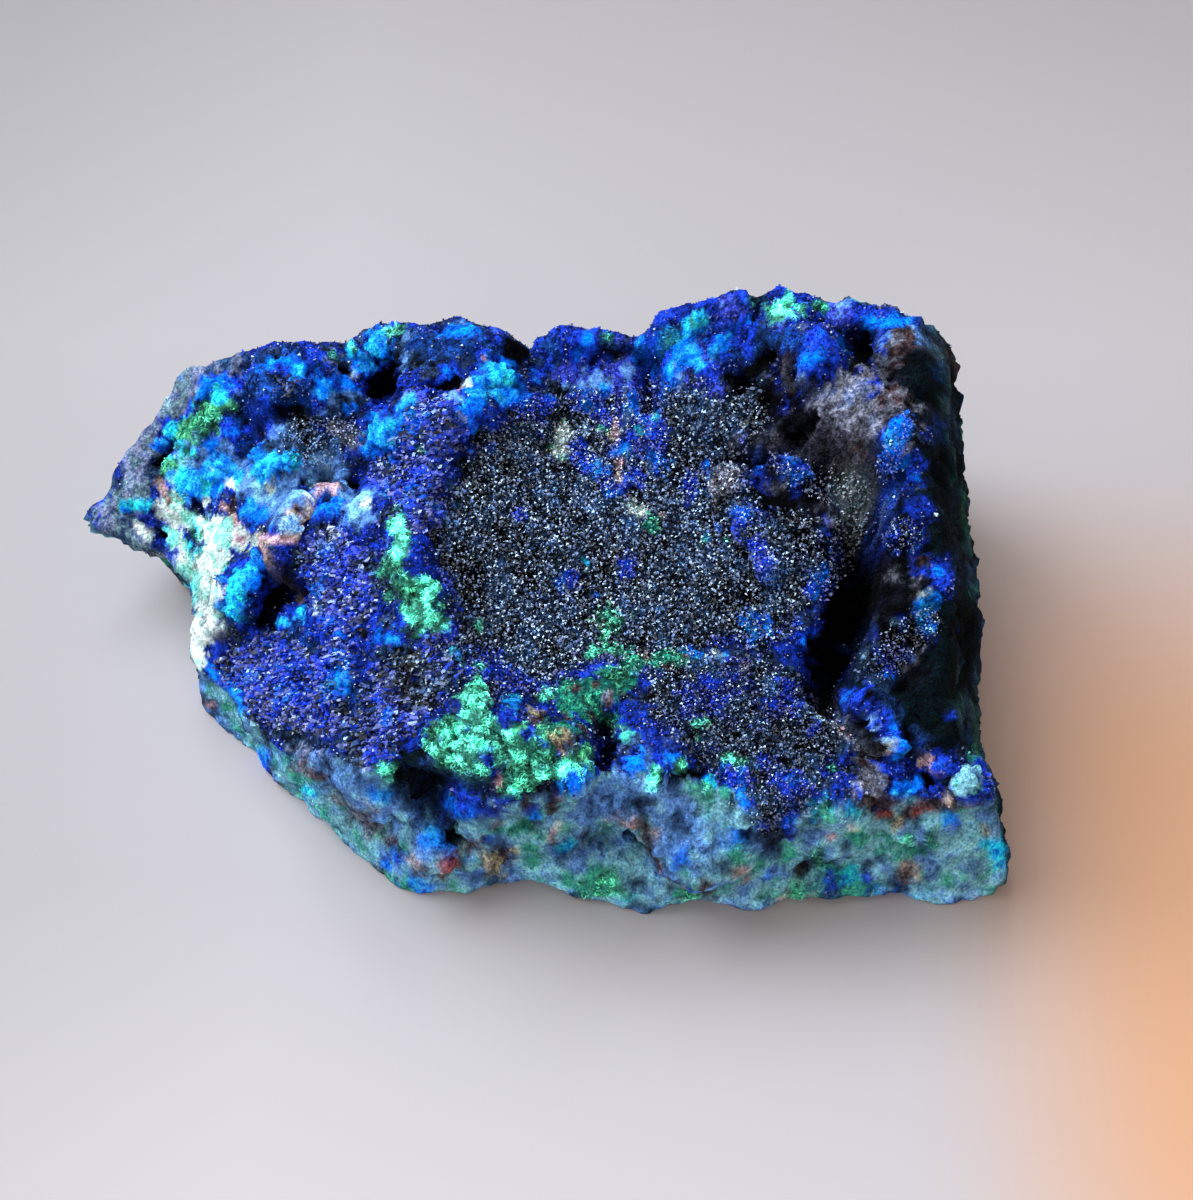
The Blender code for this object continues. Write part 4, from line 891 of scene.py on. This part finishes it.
def scattered(rock, weight, count, random):
    """Random places on the rock's quads, by area times weight, with normal and finish there."""
    points, cells = rock["points"], rock["cells"]
    across = points[cells[:, 2]] - points[cells[:, 0]]
    flat = np.linalg.norm(np.cross(across, points[cells[:, 3]] - points[cells[:, 1]]), axis=-1)
    chance = flat * weight[cells].mean(1)
    chosen = cells[random.choice(len(cells), count, p=chance / chance.sum())]
    u, v = random.uniform(0, 1, (2, count, 1))
    parts = ((1 - u) * (1 - v), u * (1 - v), u * v, (1 - u) * v)
    spots = sum(part * points[chosen[:, k]] for k, part in enumerate(parts))
    normals = unit(sum(part * rock["normals"][chosen[:, k]] for k, part in enumerate(parts)))
    coat = sum(part * rock["coat"][chosen[:, k]] for k, part in enumerate(parts))
    return spots, normals, coat


def axes_along(direction, hint):
    """Three crossed unit axes for each row: sideways, towards the hint, and along the direction."""
    along = unit(direction)
    near = unit(hint - np.sum(hint * along, -1, keepdims=True) * along)
    return np.stack([np.cross(near, along), near, along], 1)


def repeated(shape, faces, spots, axes, sizes):
    """One small shape at every spot: its corners times the sizes, turned by the axes."""
    corners = shape[None] if shape.ndim == 2 else shape
    points = spots[:, None] + (corners * sizes[:, None]) @ axes
    offset = np.arange(len(spots))[:, None, None] * corners.shape[1]
    return points.reshape(-1, 3), (np.array(faces)[None] + offset).reshape(-1, len(faces[0])).tolist()


# Crowds of small shapes: how many, the least and most width and height in mm, and how far they lean
BASIN_CROWD = (24500, (0.24, 0.42), (0.22, 0.42), 0.62)
RIDGE_CROWD = (18000, (0.18, 0.34), (0.18, 0.36), 0.7)
BLADE_CROWD = (8500, (0.24, 0.40), (0.40, 0.68), 0.7)
CRUMB_CROWD, BEAD_CROWD = (20000, (0.17, 0.42)), (2200, (0.16, 0.36))
CURL_COUNT, CURL_RINGS, CURL_SIDES = 4000, 6, 4
# A crystal is a little flatter than wide, and its corners and size vary
FLATNESS, CORNER_SPREAD, SIZE_SPREAD = 0.75, (0.75, 1.25), (0.55, 1.45)
# Lying blades: the way along X, how far they rise with the normal, and how far they stray
LYING_WAY, LYING_RISE, LYING_STRAY, LYING_ROLL = np.array((1.0, 0.25, 0)), 0.5, 0.42, 0.3
# Brightness of crystals, partly random tone and partly painted glints: clouds of noise by size and
# strength, and the spread from one to the next
CLOUDS, BRIGHT_MEAN, BRIGHT_SPREAD = ((2.4, 2.0), (0.9, 1.0)), -0.35, 0.95
# Pale crystals, painted glints: how many, how far they are paled, to which grey and hue, and the most
# colour of any
GLINT_SHARE, GLINT_REACH, GLINT_GREY, GLINT_HUE, MOST_COLOUR = 0.20, (0.3, 0.9), 0.21, 0.52, 0.75
# How much a crumb's corners and its three sizes vary
CRUMB_CORNERS, CRUMB_SIDES = (0.7, 1.3), (0.7, 1.2)
# A curl: its lean, the arc's radius and turn, the share of the turn before its middle, how far the arc
# sinks, the tube's radius, its thickness at the ends and what the middle adds, and its painted light
# likewise: painted shade at the ends and painted highlight at the middle
CURL_LEAN, CURL_REACH, CURL_TURN, CURL_BEFORE, CURL_SINK = 0.5, (0.16, 0.42), (1.6, 4.0), 0.3, 0.3
CURL_RADIUS, CURL_ENDS, CURL_MIDDLE, DIM_ENDS, DIM_MIDDLE = (0.06, 0.12), 0.45, 0.55, 0.55, 0.6
# How bright grains of a colour are at least and at most
CRYSTAL_LIGHT, CRUMB_LIGHT, CURL_LIGHT = (0.6, 1.4), (0.75, 1.35), (1.1, 1.7)
# A tablet: a four-sided prism, buried foot, tapered, with its top cut on a slant
TABLET = np.array([
    (-0.5, -0.5, -0.4), (0.5, -0.5, -0.4), (0.5, 0.5, -0.4), (-0.5, 0.5, -0.4),
    (-0.42, -0.42, 0.8), (0.42, -0.42, 1.0), (0.42, 0.42, 0.92), (-0.42, 0.42, 0.72),
])
TABLET_FACES = ((0, 3, 2, 1), (4, 5, 6, 7), (0, 1, 5, 4), (1, 2, 6, 5), (2, 3, 7, 6), (3, 0, 4, 7))
# A chisel: a three-sided prism on a buried foot, with its flat top cut on a slant
CHISEL = np.array([
    (-0.55, -0.35, -0.4), (0.55, -0.35, -0.4), (0, 0.6, -0.4),
    (-0.42, -0.30, 0.5), (0.42, -0.30, 0.8), (0, 0.46, 0.65),
])
CHISEL_FACES = ((0, 2, 1), (3, 4, 5), (0, 1, 4), (0, 4, 3), (1, 2, 5), (1, 5, 4), (2, 0, 3), (2, 3, 5))
# A crumb: eight faces round six corners
CRUMB = np.repeat(np.eye(3) / 2, 2, 0) * np.tile((1, -1), 3)[:, None]
CRUMB_FACES = ((0, 2, 4), (2, 1, 4), (1, 3, 4), (3, 0, 4), (2, 0, 5), (1, 2, 5), (3, 1, 5), (0, 3, 5))


def grain_colours(coat, random, light):
    """One colour a grain: the finish's second colour by its share, times a random brightness."""
    second = random.uniform(0, 1, len(coat)) < coat[:, SHARE]
    colour = np.where(second[:, None], coat[:, SECOND], coat[:, MAIN])
    return colour * random.uniform(*light, (len(coat), 1))


def thickness(rock, lines):
    """How thick crystals stand on the rock: the most of the soft brush lines, where it is seen."""
    share = np.zeros(len(rock["points"]))
    for line in lines:
        share = np.maximum(share, brushed(rock["places"], (), line))
    return share * rock["facing"]


def crystals(rock, name, form, weight, crowd, material, seed, node=None, lying=False):
    """Glossy crystals of one form: each leans from the normal by a random amount, or lies along X.
    Their brightness is e^(clouds of noise and a random number), partly random tone and partly painted
    glints, and some are paled as painted glints."""
    random = np.random.default_rng(seed)
    count, width, height, lean = crowd
    shape, faces = form
    spots, normals, coat = scattered(rock, weight, count, random)
    shake = random.normal(0, 1, (count, 3))
    direction = normals + lean * random.uniform(0, 1, (count, 1)) * unit(shake)
    hint = unit(random.normal(0, 1, (count, 3)))
    if lying:
        ways = np.where(random.uniform(0, 1, (count, 1)) < 0.5, -1.0, 1.0)
        direction = ways * LYING_WAY + LYING_RISE * normals + LYING_STRAY * shake
        hint = normals + LYING_ROLL * random.normal(0, 1, (count, 3))
    size = random.uniform(*SIZE_SPREAD, (count, 1))
    sizes = size * np.stack([random.uniform(*width, count), random.uniform(*width, count) * FLATNESS,
                             random.uniform(*height, count)], -1)
    uneven = shape[None] * random.uniform(*CORNER_SPREAD, (count, len(shape), 1))
    points, faces = repeated(uneven, faces, spots, axes_along(direction, hint), sizes)
    cloud = np.exp(layered(spots, CLOUDS, seed, 0))
    tone_and_glint = cloud * np.exp(random.normal(BRIGHT_MEAN, BRIGHT_SPREAD, count))
    tint = grain_colours(coat, random, CRYSTAL_LIGHT) * tone_and_glint[:, None]
    # Painted glints: some crystals are paled towards a light grey of their own hue
    pale = random.uniform(0, 1, (count, 1)) < GLINT_SHARE
    pale = pale * random.uniform(*GLINT_REACH, (count, 1))
    hue = coat[:, MAIN] / coat[:, MAIN].max(1, keepdims=True)
    tint += (GLINT_GREY + GLINT_HUE * hue - tint) * pale
    tint *= np.minimum(1, MOST_COLOUR / tint.max(1))[:, None]
    colours = np.repeat(tint, len(shape), 0)
    return finished(name, points, faces, material, {"tint": colours}, node)


def crumbs(rock, name, weight, crowd, material, seed):
    """Matt crumbs: eight-faced grains of random sizes, half sunk in the rock, in its own colours."""
    random = np.random.default_rng(seed)
    count, size = crowd
    spots, _, coat = scattered(rock, weight, count, random)
    shape = CRUMB[None] * random.uniform(*CRUMB_CORNERS, (count, len(CRUMB), 1))
    sizes = random.uniform(*size, (count, 1)) * random.uniform(*CRUMB_SIDES, (count, 3))
    axes = axes_along(random.normal(0, 1, (count, 3)), random.normal(0, 1, (count, 3)))
    points, faces = repeated(shape, CRUMB_FACES, spots, axes, sizes)
    colours = np.repeat(grain_colours(coat, random, CRUMB_LIGHT), len(CRUMB), 0)
    return finished(name, points, faces, material, {"tint": colours})


def curls(rock, weight, count, material, seed):
    """Green curls: thin tubes on arcs r(sin t, 0, cos t). The tube is thickest and lightest at half
    its length, where sin(pi s) is 1, and thinnest and darkest at its closed ends: painted highlight and
    painted shade."""
    random = np.random.default_rng(seed)
    spots, normals, coat = scattered(rock, weight, count, random)
    direction = normals + CURL_LEAN * random.normal(0, 1, (count, 3))
    axes = axes_along(direction, random.normal(0, 1, (count, 3)))
    reach = random.uniform(*CURL_REACH, (count, 1))
    along = np.linspace(0, 1, CURL_RINGS)
    turn = random.uniform(*CURL_TURN, (count, 1)) * (along - CURL_BEFORE)
    zero = np.zeros_like(turn)
    path = np.stack([reach * np.sin(turn), zero, reach * np.cos(turn) - CURL_SINK * reach], -1)
    outward = np.stack([np.sin(turn), zero, np.cos(turn)], -1)
    aside = np.broadcast_to((0.0, 1.0, 0.0), outward.shape)
    around = np.linspace(0, 2 * np.pi, CURL_SIDES, endpoint=False)
    fat = CURL_ENDS + CURL_MIDDLE * np.sin(np.pi * along)
    radius = random.uniform(*CURL_RADIUS, (count, 1)) * fat
    tube = path[:, :, None] + radius[:, :, None, None] * (
        np.cos(around)[:, None] * outward[:, :, None] + np.sin(around)[:, None] * aside[:, :, None])
    tube = tube.reshape(count, -1, 3)
    ring = np.arange(CURL_SIDES)
    faces = []
    for number in range(CURL_RINGS - 1):
        low, high = ring + number * CURL_SIDES, ring + (number + 1) * CURL_SIDES
        faces += np.stack([low, np.roll(low, -1), np.roll(high, -1), high], -1).tolist()
    faces.append(ring[::-1].tolist())
    faces.append((ring + (CURL_RINGS - 1) * CURL_SIDES).tolist())
    points, all_faces = repeated(tube, faces, spots, axes, np.ones((count, 3)))
    # Painted highlight at the middle of each curl, painted shade at its ends
    curl_shading = np.tile(np.repeat(DIM_ENDS + DIM_MIDDLE * fat, CURL_SIDES), count)[:, None]
    colours = np.repeat(grain_colours(coat, random, CURL_LIGHT), tube.shape[1], 0) * curl_shading
    return finished("malachite_curls", points, all_faces, material, {"tint": colours})


def add(tree, kind, inputs, **settings):
    """A node with its settings, whose inputs are set to values or linked to other sockets."""
    made = tree.nodes.new(kind)
    for key, value in settings.items():
        setattr(made, key, value)
    for key, value in inputs.items():
        if isinstance(value, bpy.types.NodeSocket):
            tree.links.new(value, made.inputs[key])
        else:
            made.inputs[key].default_value = value
    return made


def sums(tree, operation, first, second=0.0, third=0.0):
    """The result of one sum on up to three numbers or sockets."""
    return add(tree, "ShaderNodeMath", {0: first, 1: second, 2: third}, operation=operation).outputs[0]


def times(tree, first, *others):
    """The product of some numbers or sockets."""
    for other in others:
        first = sums(tree, "MULTIPLY", first, other)
    return first


def ranged(tree, value, start, end, low=0.0, high=1.0, **settings):
    """A value spread from low to high between a start and an end."""
    inputs = {"Value": value, "From Min": start, "From Max": end, "To Min": low, "To Max": high}
    return add(tree, "ShaderNodeMapRange", inputs, **settings).outputs[0]


def moved(tree, operation, first, second=(0, 0, 0)):
    """The result of one sum on two vectors."""
    return add(tree, "ShaderNodeVectorMath", {0: first, 1: second}, operation=operation).outputs[0]


def scaled(tree, vector, amount):
    """A vector or a colour times a number."""
    return add(tree, "ShaderNodeVectorMath", {0: vector, "Scale": amount}, operation="SCALE").outputs[0]


def own_place(tree, output="Object"):
    """Where the point lies on its own piece."""
    return add(tree, "ShaderNodeTexCoord", {}).outputs[output]


def clouds(tree, place, scale, detail, rough=0.5):
    """A cloud pattern from 0 to 1."""
    inputs = {"Vector": place, "Scale": scale, "Detail": detail, "Roughness": rough}
    return add(tree, "ShaderNodeTexNoise", inputs).outputs["Fac"]


def between(tree, share, first, second):
    """One colour at share 0, another at share 1: a mix node's sockets 6 and 7 take the colours."""
    return add(tree, "ShaderNodeMix", {0: share, 6: first, 7: second}, data_type="RGBA").outputs[2]


def new_group(name, ins, outs):
    """A node group with named sockets, and its input and output nodes."""
    group = bpy.data.node_groups.new(name, "ShaderNodeTree")
    for title, kind, value in ins:
        socket = group.interface.new_socket(title, in_out="INPUT", socket_type=kind)
        socket.default_value = value
    for title, kind in outs:
        group.interface.new_socket(title, in_out="OUTPUT", socket_type=kind)
    return group, group.nodes.new("NodeGroupInput"), group.nodes.new("NodeGroupOutput")


FLOAT, COLOUR, VECTOR = "NodeSocketFloat", "NodeSocketColor", "NodeSocketVector"
# Patterns' scales in cells a metre: grains, their light, glints, and the surface's bumps
GRAIN, FINE_GRAIN, GLINT_GRAIN, BUMP_CELLS, BUMP_GRAIN = 1500.0, 3600.0, 2200.0, 1700.0, 3200.0
# Their detail and roughness, and how strongly the second colour's share moves the split
GRAIN_DETAIL, GRAIN_ROUGH, FINE_DETAIL, BUMP_DETAIL, SHARE_WEIGHT = 4.0, 0.6, 2.0, 3.0, 0.5
# Where grains change colour, and the light of the finest ones: from, to, least, most
SPLIT_RAMP, LIGHT_RAMP = (0.60, 0.80), (0.30, 0.70, 0.60, 1.50)
# The second colour's share on crystals and crumbs, and how much duller it is on crumbs
CRYSTAL_SHARE, CRUMB_SHARE, CRUMB_DULL = 0.3, 0.35, 0.6
BUMP_DIP, BUMP_STRENGTH, BUMP_DISTANCE, GLINT_TILT = -0.8, 0.9, 0.0004, 1.1
ROCK_IOR, CRYSTAL_IOR, BLADE_IOR, MATT_IOR = 1.11, 2.2, 1.85, 1.2
CRYSTAL_ROUGHNESS, CRUMB_ROUGHNESS, GROWTH_ROUGHNESS, FLOOR_ROUGHNESS = 0.13, 0.8, 0.6, 0.7
CRYSTAL_SHEEN = (0.66, 0.85, 1.0, 1)


def speckle_group():
    """Two colours split by noise: the second wins where noise plus its share passes a half."""
    group, take, give = new_group(
        "mineral speckle",
        (("Main", COLOUR, (1, 1, 1, 1)), ("Second", COLOUR, (0, 0, 0, 1)), ("Share", FLOAT, 0.4),
         ("Grain", FLOAT, GRAIN)),
        (("Colour", COLOUR),))
    place = moved(group, "MULTIPLY", own_place(group), UPRIGHT)
    broad = clouds(group, place, take.outputs["Grain"], GRAIN_DETAIL, GRAIN_ROUGH)
    fine = clouds(group, place, FINE_GRAIN, FINE_DETAIL)
    level = sums(group, "ADD", broad, times(group, take.outputs["Share"], SHARE_WEIGHT))
    split = ranged(group, level, *SPLIT_RAMP)
    colour = between(group, split, take.outputs["Main"], take.outputs["Second"])
    light = ranged(group, fine, *LIGHT_RAMP)
    group.links.new(scaled(group, colour, light), give.inputs["Colour"])
    return group


def glint_group():
    """Tiny flat faces: each cell of a cell pattern turns the normal its own random way by Tilt."""
    group, take, give = new_group(
        "crystal glints",
        (("Normal", VECTOR, (0, 0, 1)), ("Tilt", FLOAT, 0.5), ("Grain", FLOAT, GLINT_GRAIN)),
        (("Normal", VECTOR),))
    inputs = {"Vector": own_place(group), "Scale": take.outputs["Grain"]}
    cell = add(group, "ShaderNodeTexVoronoi", inputs).outputs["Color"]
    centred = moved(group, "SUBTRACT", cell, (0.5, 0.5, 0.5))
    turned = scaled(group, centred, take.outputs["Tilt"])
    total = moved(group, "ADD", take.outputs["Normal"], turned)
    group.links.new(moved(group, "NORMALIZE", total), give.inputs["Normal"])
    return group


def new_material(name):
    """A material with its node tree, its Principled shader and nothing else changed."""
    material = bpy.data.materials.new(name)
    material.use_nodes = True
    return material, material.node_tree, material.node_tree.nodes["Principled BSDF"]


def attribute(tree, name, output="Fac"):
    """The socket that reads one of the mesh's own attributes."""
    return add(tree, "ShaderNodeAttribute", {}, attribute_name=name).outputs[output]


def grouped(tree, group, inputs):
    """A node group placed in a material with its own values."""
    return add(tree, "ShaderNodeGroup", inputs, node_tree=group)


def rock_material(speckle, glints):
    """The ore: brushed minerals split into grains, bumpy, with glints where crystals line it."""
    material, tree, shader = new_material("ore surface")
    colour = grouped(tree, speckle, {
        "Main": attribute(tree, "main", "Color"), "Second": attribute(tree, "second", "Color"),
        "Share": attribute(tree, "share")}).outputs[0]
    place = own_place(tree)
    cells = add(tree, "ShaderNodeTexVoronoi", {"Vector": place, "Scale": BUMP_CELLS},
                feature="SMOOTH_F1").outputs["Distance"]
    height = sums(tree, "MULTIPLY_ADD", cells, BUMP_DIP, clouds(tree, place, BUMP_GRAIN, BUMP_DETAIL))
    inputs = {"Height": height, "Strength": BUMP_STRENGTH, "Distance": BUMP_DISTANCE}
    bump = add(tree, "ShaderNodeBump", inputs).outputs[0]
    tilt = times(tree, attribute(tree, "glint"), GLINT_TILT)
    normal = grouped(tree, glints, {"Normal": bump, "Tilt": tilt}).outputs[0]
    tree.links.new(colour, shader.inputs["Base Color"])
    tree.links.new(attribute(tree, "rough"), shader.inputs["Roughness"])
    tree.links.new(normal, shader.inputs["Normal"])
    shader.inputs["IOR"].default_value = ROCK_IOR
    return material


def crystal_material(name, speckle, refraction):
    """Azurite crystals: their own tint with slight clouding, smooth, and strongly refracting."""
    material, tree, shader = new_material(name)
    tint = attribute(tree, "tint", "Color")
    colour = grouped(tree, speckle, {"Main": tint, "Second": tint, "Share": CRYSTAL_SHARE}).outputs[0]
    tree.links.new(colour, shader.inputs["Base Color"])
    shader.inputs["Roughness"].default_value = CRYSTAL_ROUGHNESS
    shader.inputs["IOR"].default_value = refraction
    shader.inputs["Specular Tint"].default_value = CRYSTAL_SHEEN
    return material


def matt_material(name, speckle, roughness):
    """Crumbs and growth: their own tint, split a little by noise, and matt."""
    material, tree, shader = new_material(name)
    tint = attribute(tree, "tint", "Color")
    dull = scaled(tree, tint, CRUMB_DULL)
    colour = grouped(tree, speckle, {"Main": tint, "Second": dull, "Share": CRUMB_SHARE}).outputs[0]
    tree.links.new(colour, shader.inputs["Base Color"])
    shader.inputs["Roughness"].default_value = roughness
    shader.inputs["IOR"].default_value = MATT_IOR
    return material


# The floor: the size and detail of its clouding, two pale colours and the warm patch's colour, a painted
# warm tint where the specimen's shadow falls
FLOOR_CLOUDS = (6.0, 3.0)
FLOOR_PALE, FLOOR_PALER = (0.375, 0.366, 0.376, 1), (0.390, 0.378, 0.383, 1)
FLOOR_SHADOW_TINT = (0.51, 0.29, 0.165, 1)
# The warm patch's bounds round the shadow, and the fades of brightness, painted light falloff: axis,
# start and end in metres, last brightness
SHADOW_TINT_BOUNDS = (("X", 0.04, 0.075), ("Y", 0.04, -0.02), ("X", 0.19, 0.12), ("Y", -0.14, -0.06))
FLOOR_LIGHT_FADES = (("Y", 0.055, 0.135, 0.74), ("Y", -0.03, -0.11, 1.42), ("X", -0.03, -0.085, 0.79))
FLOOR_HALF = 1.6


def floor_material():
    """A pale painted floor: slight clouding, a warm patch of painted shadow tint and wide fades of its
    brightness as painted light falloff.
    """
    material, tree, shader = new_material("table")
    place = own_place(tree)
    pale = between(tree, clouds(tree, place, *FLOOR_CLOUDS), FLOOR_PALE, FLOOR_PALER)
    axes = add(tree, "ShaderNodeSeparateXYZ", {0: place}).outputs
    # Painted warm tint where the specimen's shadow falls
    patch = times(tree, *[ranged(tree, axes[axis], begin, end, interpolation_type="SMOOTHSTEP")
                          for axis, begin, end in SHADOW_TINT_BOUNDS])
    warm = between(tree, patch, pale, FLOOR_SHADOW_TINT)
    # Painted light falloff across the floor
    light_fades = times(tree, *[ranged(tree, axes[axis], begin, end, 1.0, level)
                          for axis, begin, end, level in FLOOR_LIGHT_FADES])
    tree.links.new(scaled(tree, warm, light_fades), shader.inputs["Base Color"])
    shader.inputs["Roughness"].default_value = FLOOR_ROUGHNESS
    return material


def add_floor():
    """A wide flat floor just under the specimen."""
    mesh = bpy.data.meshes.new("table_top")
    corners = [(x * FLOOR_HALF, y * FLOOR_HALF, 0) for x, y in ((-1, -1), (1, -1), (1, 1), (-1, 1))]
    mesh.from_pydata(corners, [], [(0, 1, 2, 3)])
    mesh.materials.append(floor_material())
    floor = bpy.data.objects.new("table_top", mesh)
    bpy.context.scene.collection.objects.link(floor)


# Lights: name, direction from the specimen, distance and size in metres, power and colour
LIGHTS = (
    ("window", (-0.56, 0.27, 0.78), 0.80, (0.54, 0.54), 8.3, (0.82, 0.89, 1.0)),
    ("second_pane", (-0.12, 0.62, 0.77), 0.90, (0.30, 0.30), 2.1, (0.82, 0.89, 1.0)),
    ("pale_wall", (-0.42, 0.20, 0.88), 1.0, (1.3, 1.3), 4.2, (0.84, 0.90, 1.0)),
    ("front_wall", (0.05, -0.80, 0.55), 1.3, (1.2, 0.8), 3.8, (0.84, 0.90, 1.0)),
)
LIT_PLACE = (0.005, 0, 0.02)
# The room's warm light: its colour, the size of its clouds, and their strength: from, to, least, most
ROOM_COLOUR, ROOM_CLOUDS, ROOM_RAMP = (1.0, 0.76, 0.62, 1), 2.4, (0.42, 0.60, 0.10, 0.80)
NEAR_CLIP = 0.01


def add_panel(name, direction, distance, size, power, colour):
    """An oblong area light that faces the specimen from a direction."""
    light = bpy.data.lights.new(name, "AREA")
    light.shape = "RECTANGLE"
    light.size, light.size_y = size
    light.energy = power
    light.color = colour
    lamp = bpy.data.objects.new(name, light)
    towards = Vector(direction).normalized()
    lamp.location = Vector(LIT_PLACE) + towards * distance
    lamp.rotation_euler = towards.to_track_quat("Z", "Y").to_euler()
    bpy.context.scene.collection.objects.link(lamp)


def add_lights():
    """A window high at the left, the pale wall round it, and warm even light from the room."""
    for panel in LIGHTS:
        add_panel(*panel)
    world = bpy.data.worlds.new("room")
    bpy.context.scene.world = world
    world.use_nodes = True
    tree = world.node_tree
    cloud = clouds(tree, own_place(tree, "Generated"), ROOM_CLOUDS, 1.0)
    level = ranged(tree, cloud, *ROOM_RAMP)
    sky = tree.nodes["Background"]
    sky.inputs["Color"].default_value = ROOM_COLOUR
    tree.links.new(level, sky.inputs["Strength"])


def add_camera():
    """A camera where the picture was taken from, with no shift and no depth of field."""
    eye, _, _, back = camera_frame()
    data = bpy.data.cameras.new("camera")
    data.sensor_fit = "VERTICAL"
    data.angle = CAMERA_ANGLE
    data.clip_start = NEAR_CLIP
    camera = bpy.data.objects.new("camera", data)
    camera.location = Vector(eye * MM)
    camera.rotation_euler = Vector(back).to_track_quat("Z", "Y").to_euler()
    bpy.context.scene.collection.objects.link(camera)
    bpy.context.scene.camera = camera


# The rock under thick crystals and growth is darker, painted shade in the gaps between them: by how much,
# and the least that is left
GROWTH_GAP_SHADE, CRYSTAL_GAP_SHADE, LEAST_GAP_LIGHT = 0.45, 0.45, 0.2
# Thin crystals on other glinting places: their share, and the glint from which they stand
THIN_SHARE, THIN_RAMP = 0.16, (0.45, 0.75)
# Upward parts of the normal, and the height in mm above the floor, that carry loose grains
UPWARD_RAMP, CRUMB_RAMP, FLOOR_RAMP = (0, 0.4), (0.1, 0.6), (0.5, 1.2)
SIDE_CRUMBS, STEEP_CRUMBS, GROWTH_POWER = 0.30, 2.0, 1.5


def main():
    """Everything in order: surface, crystals, crumbs, curls, floor, light and camera."""
    speckle, glints = speckle_group(), glint_group()
    rock = rock_surface()
    coat, seen, upright, high = rock["coat"], rock["facing"], rock["normals"][:, 2], rock["points"][:, 2]
    basin, lobe, blades = (thickness(rock, lines) for lines in (BASIN, LOBE, BLADES))
    thick = np.maximum(np.maximum(basin, lobe), blades)
    # Painted shade in the gaps between crystals and green growth
    gap_shade = 1 - GROWTH_GAP_SHADE * coat[:, GROWTH] * seen - CRYSTAL_GAP_SHADE * thick
    gap_shade = np.maximum(gap_shade, LEAST_GAP_LIGHT)[:, None]
    numbers = {"main": coat[:, MAIN] * gap_shade, "second": coat[:, SECOND] * gap_shade, "share": coat[:, SHARE],
               "rough": coat[:, ROUGH], "glint": coat[:, GLINT]}
    faces = rock["cells"].tolist() + rock["fan"].tolist()
    finished("rock_surface", rock["points"], faces, rock_material(speckle, glints), numbers,
             "host_rock", smooth=True)
    crystal = crystal_material("azurite crystals", speckle, CRYSTAL_IOR)
    blade = crystal_material("azurite blades", speckle, BLADE_IOR)
    matt = matt_material("mineral crumbs", speckle, CRUMB_ROUGHNESS)
    green = matt_material("malachite growth", speckle, GROWTH_ROUGHNESS)
    bare = 1 - np.maximum(coat[:, GROWTH], 0)
    chisel, tablet = (CHISEL, CHISEL_FACES), (TABLET, TABLET_FACES)
    crystals(rock, "basin_crystals", chisel, basin * bare, BASIN_CROWD, crystal, SEED + 1,
             node="azurite_druse")
    thin = THIN_SHARE * step(coat[:, GLINT], *THIN_RAMP) * seen * step(upright, *UPWARD_RAMP)
    lobe = np.maximum(lobe, thin)
    crystals(rock, "ridge_crystals", chisel, lobe * bare * (1 - basin) * (1 - blades), RIDGE_CROWD, crystal,
             SEED + 2)
    crystals(rock, "blade_crystals", tablet, blades * bare * (1 - basin), BLADE_CROWD, blade, SEED + 3,
             lying=True)
    above = step(high, *FLOOR_RAMP)
    loose = coat[:, RELIEF] * (SIDE_CRUMBS + step(upright, *CRUMB_RAMP))
    loose = np.maximum(loose, STEEP_CRUMBS * rock["steep"])
    loose = loose * above * (1 - basin) * (1 - blades) * (1 - lobe)
    crumbs(rock, "mineral_crumbs", loose, CRUMB_CROWD, matt, SEED + 4)
    growth = coat[:, GROWTH] ** GROWTH_POWER * seen * above
    crumbs(rock, "malachite_beads", growth, BEAD_CROWD, green, SEED + 6)
    curls(rock, growth, CURL_COUNT, green, SEED + 5)
    add_floor()
    add_lights()
    add_camera()


main()
bpy.context.scene.view_settings.view_transform = "Standard"
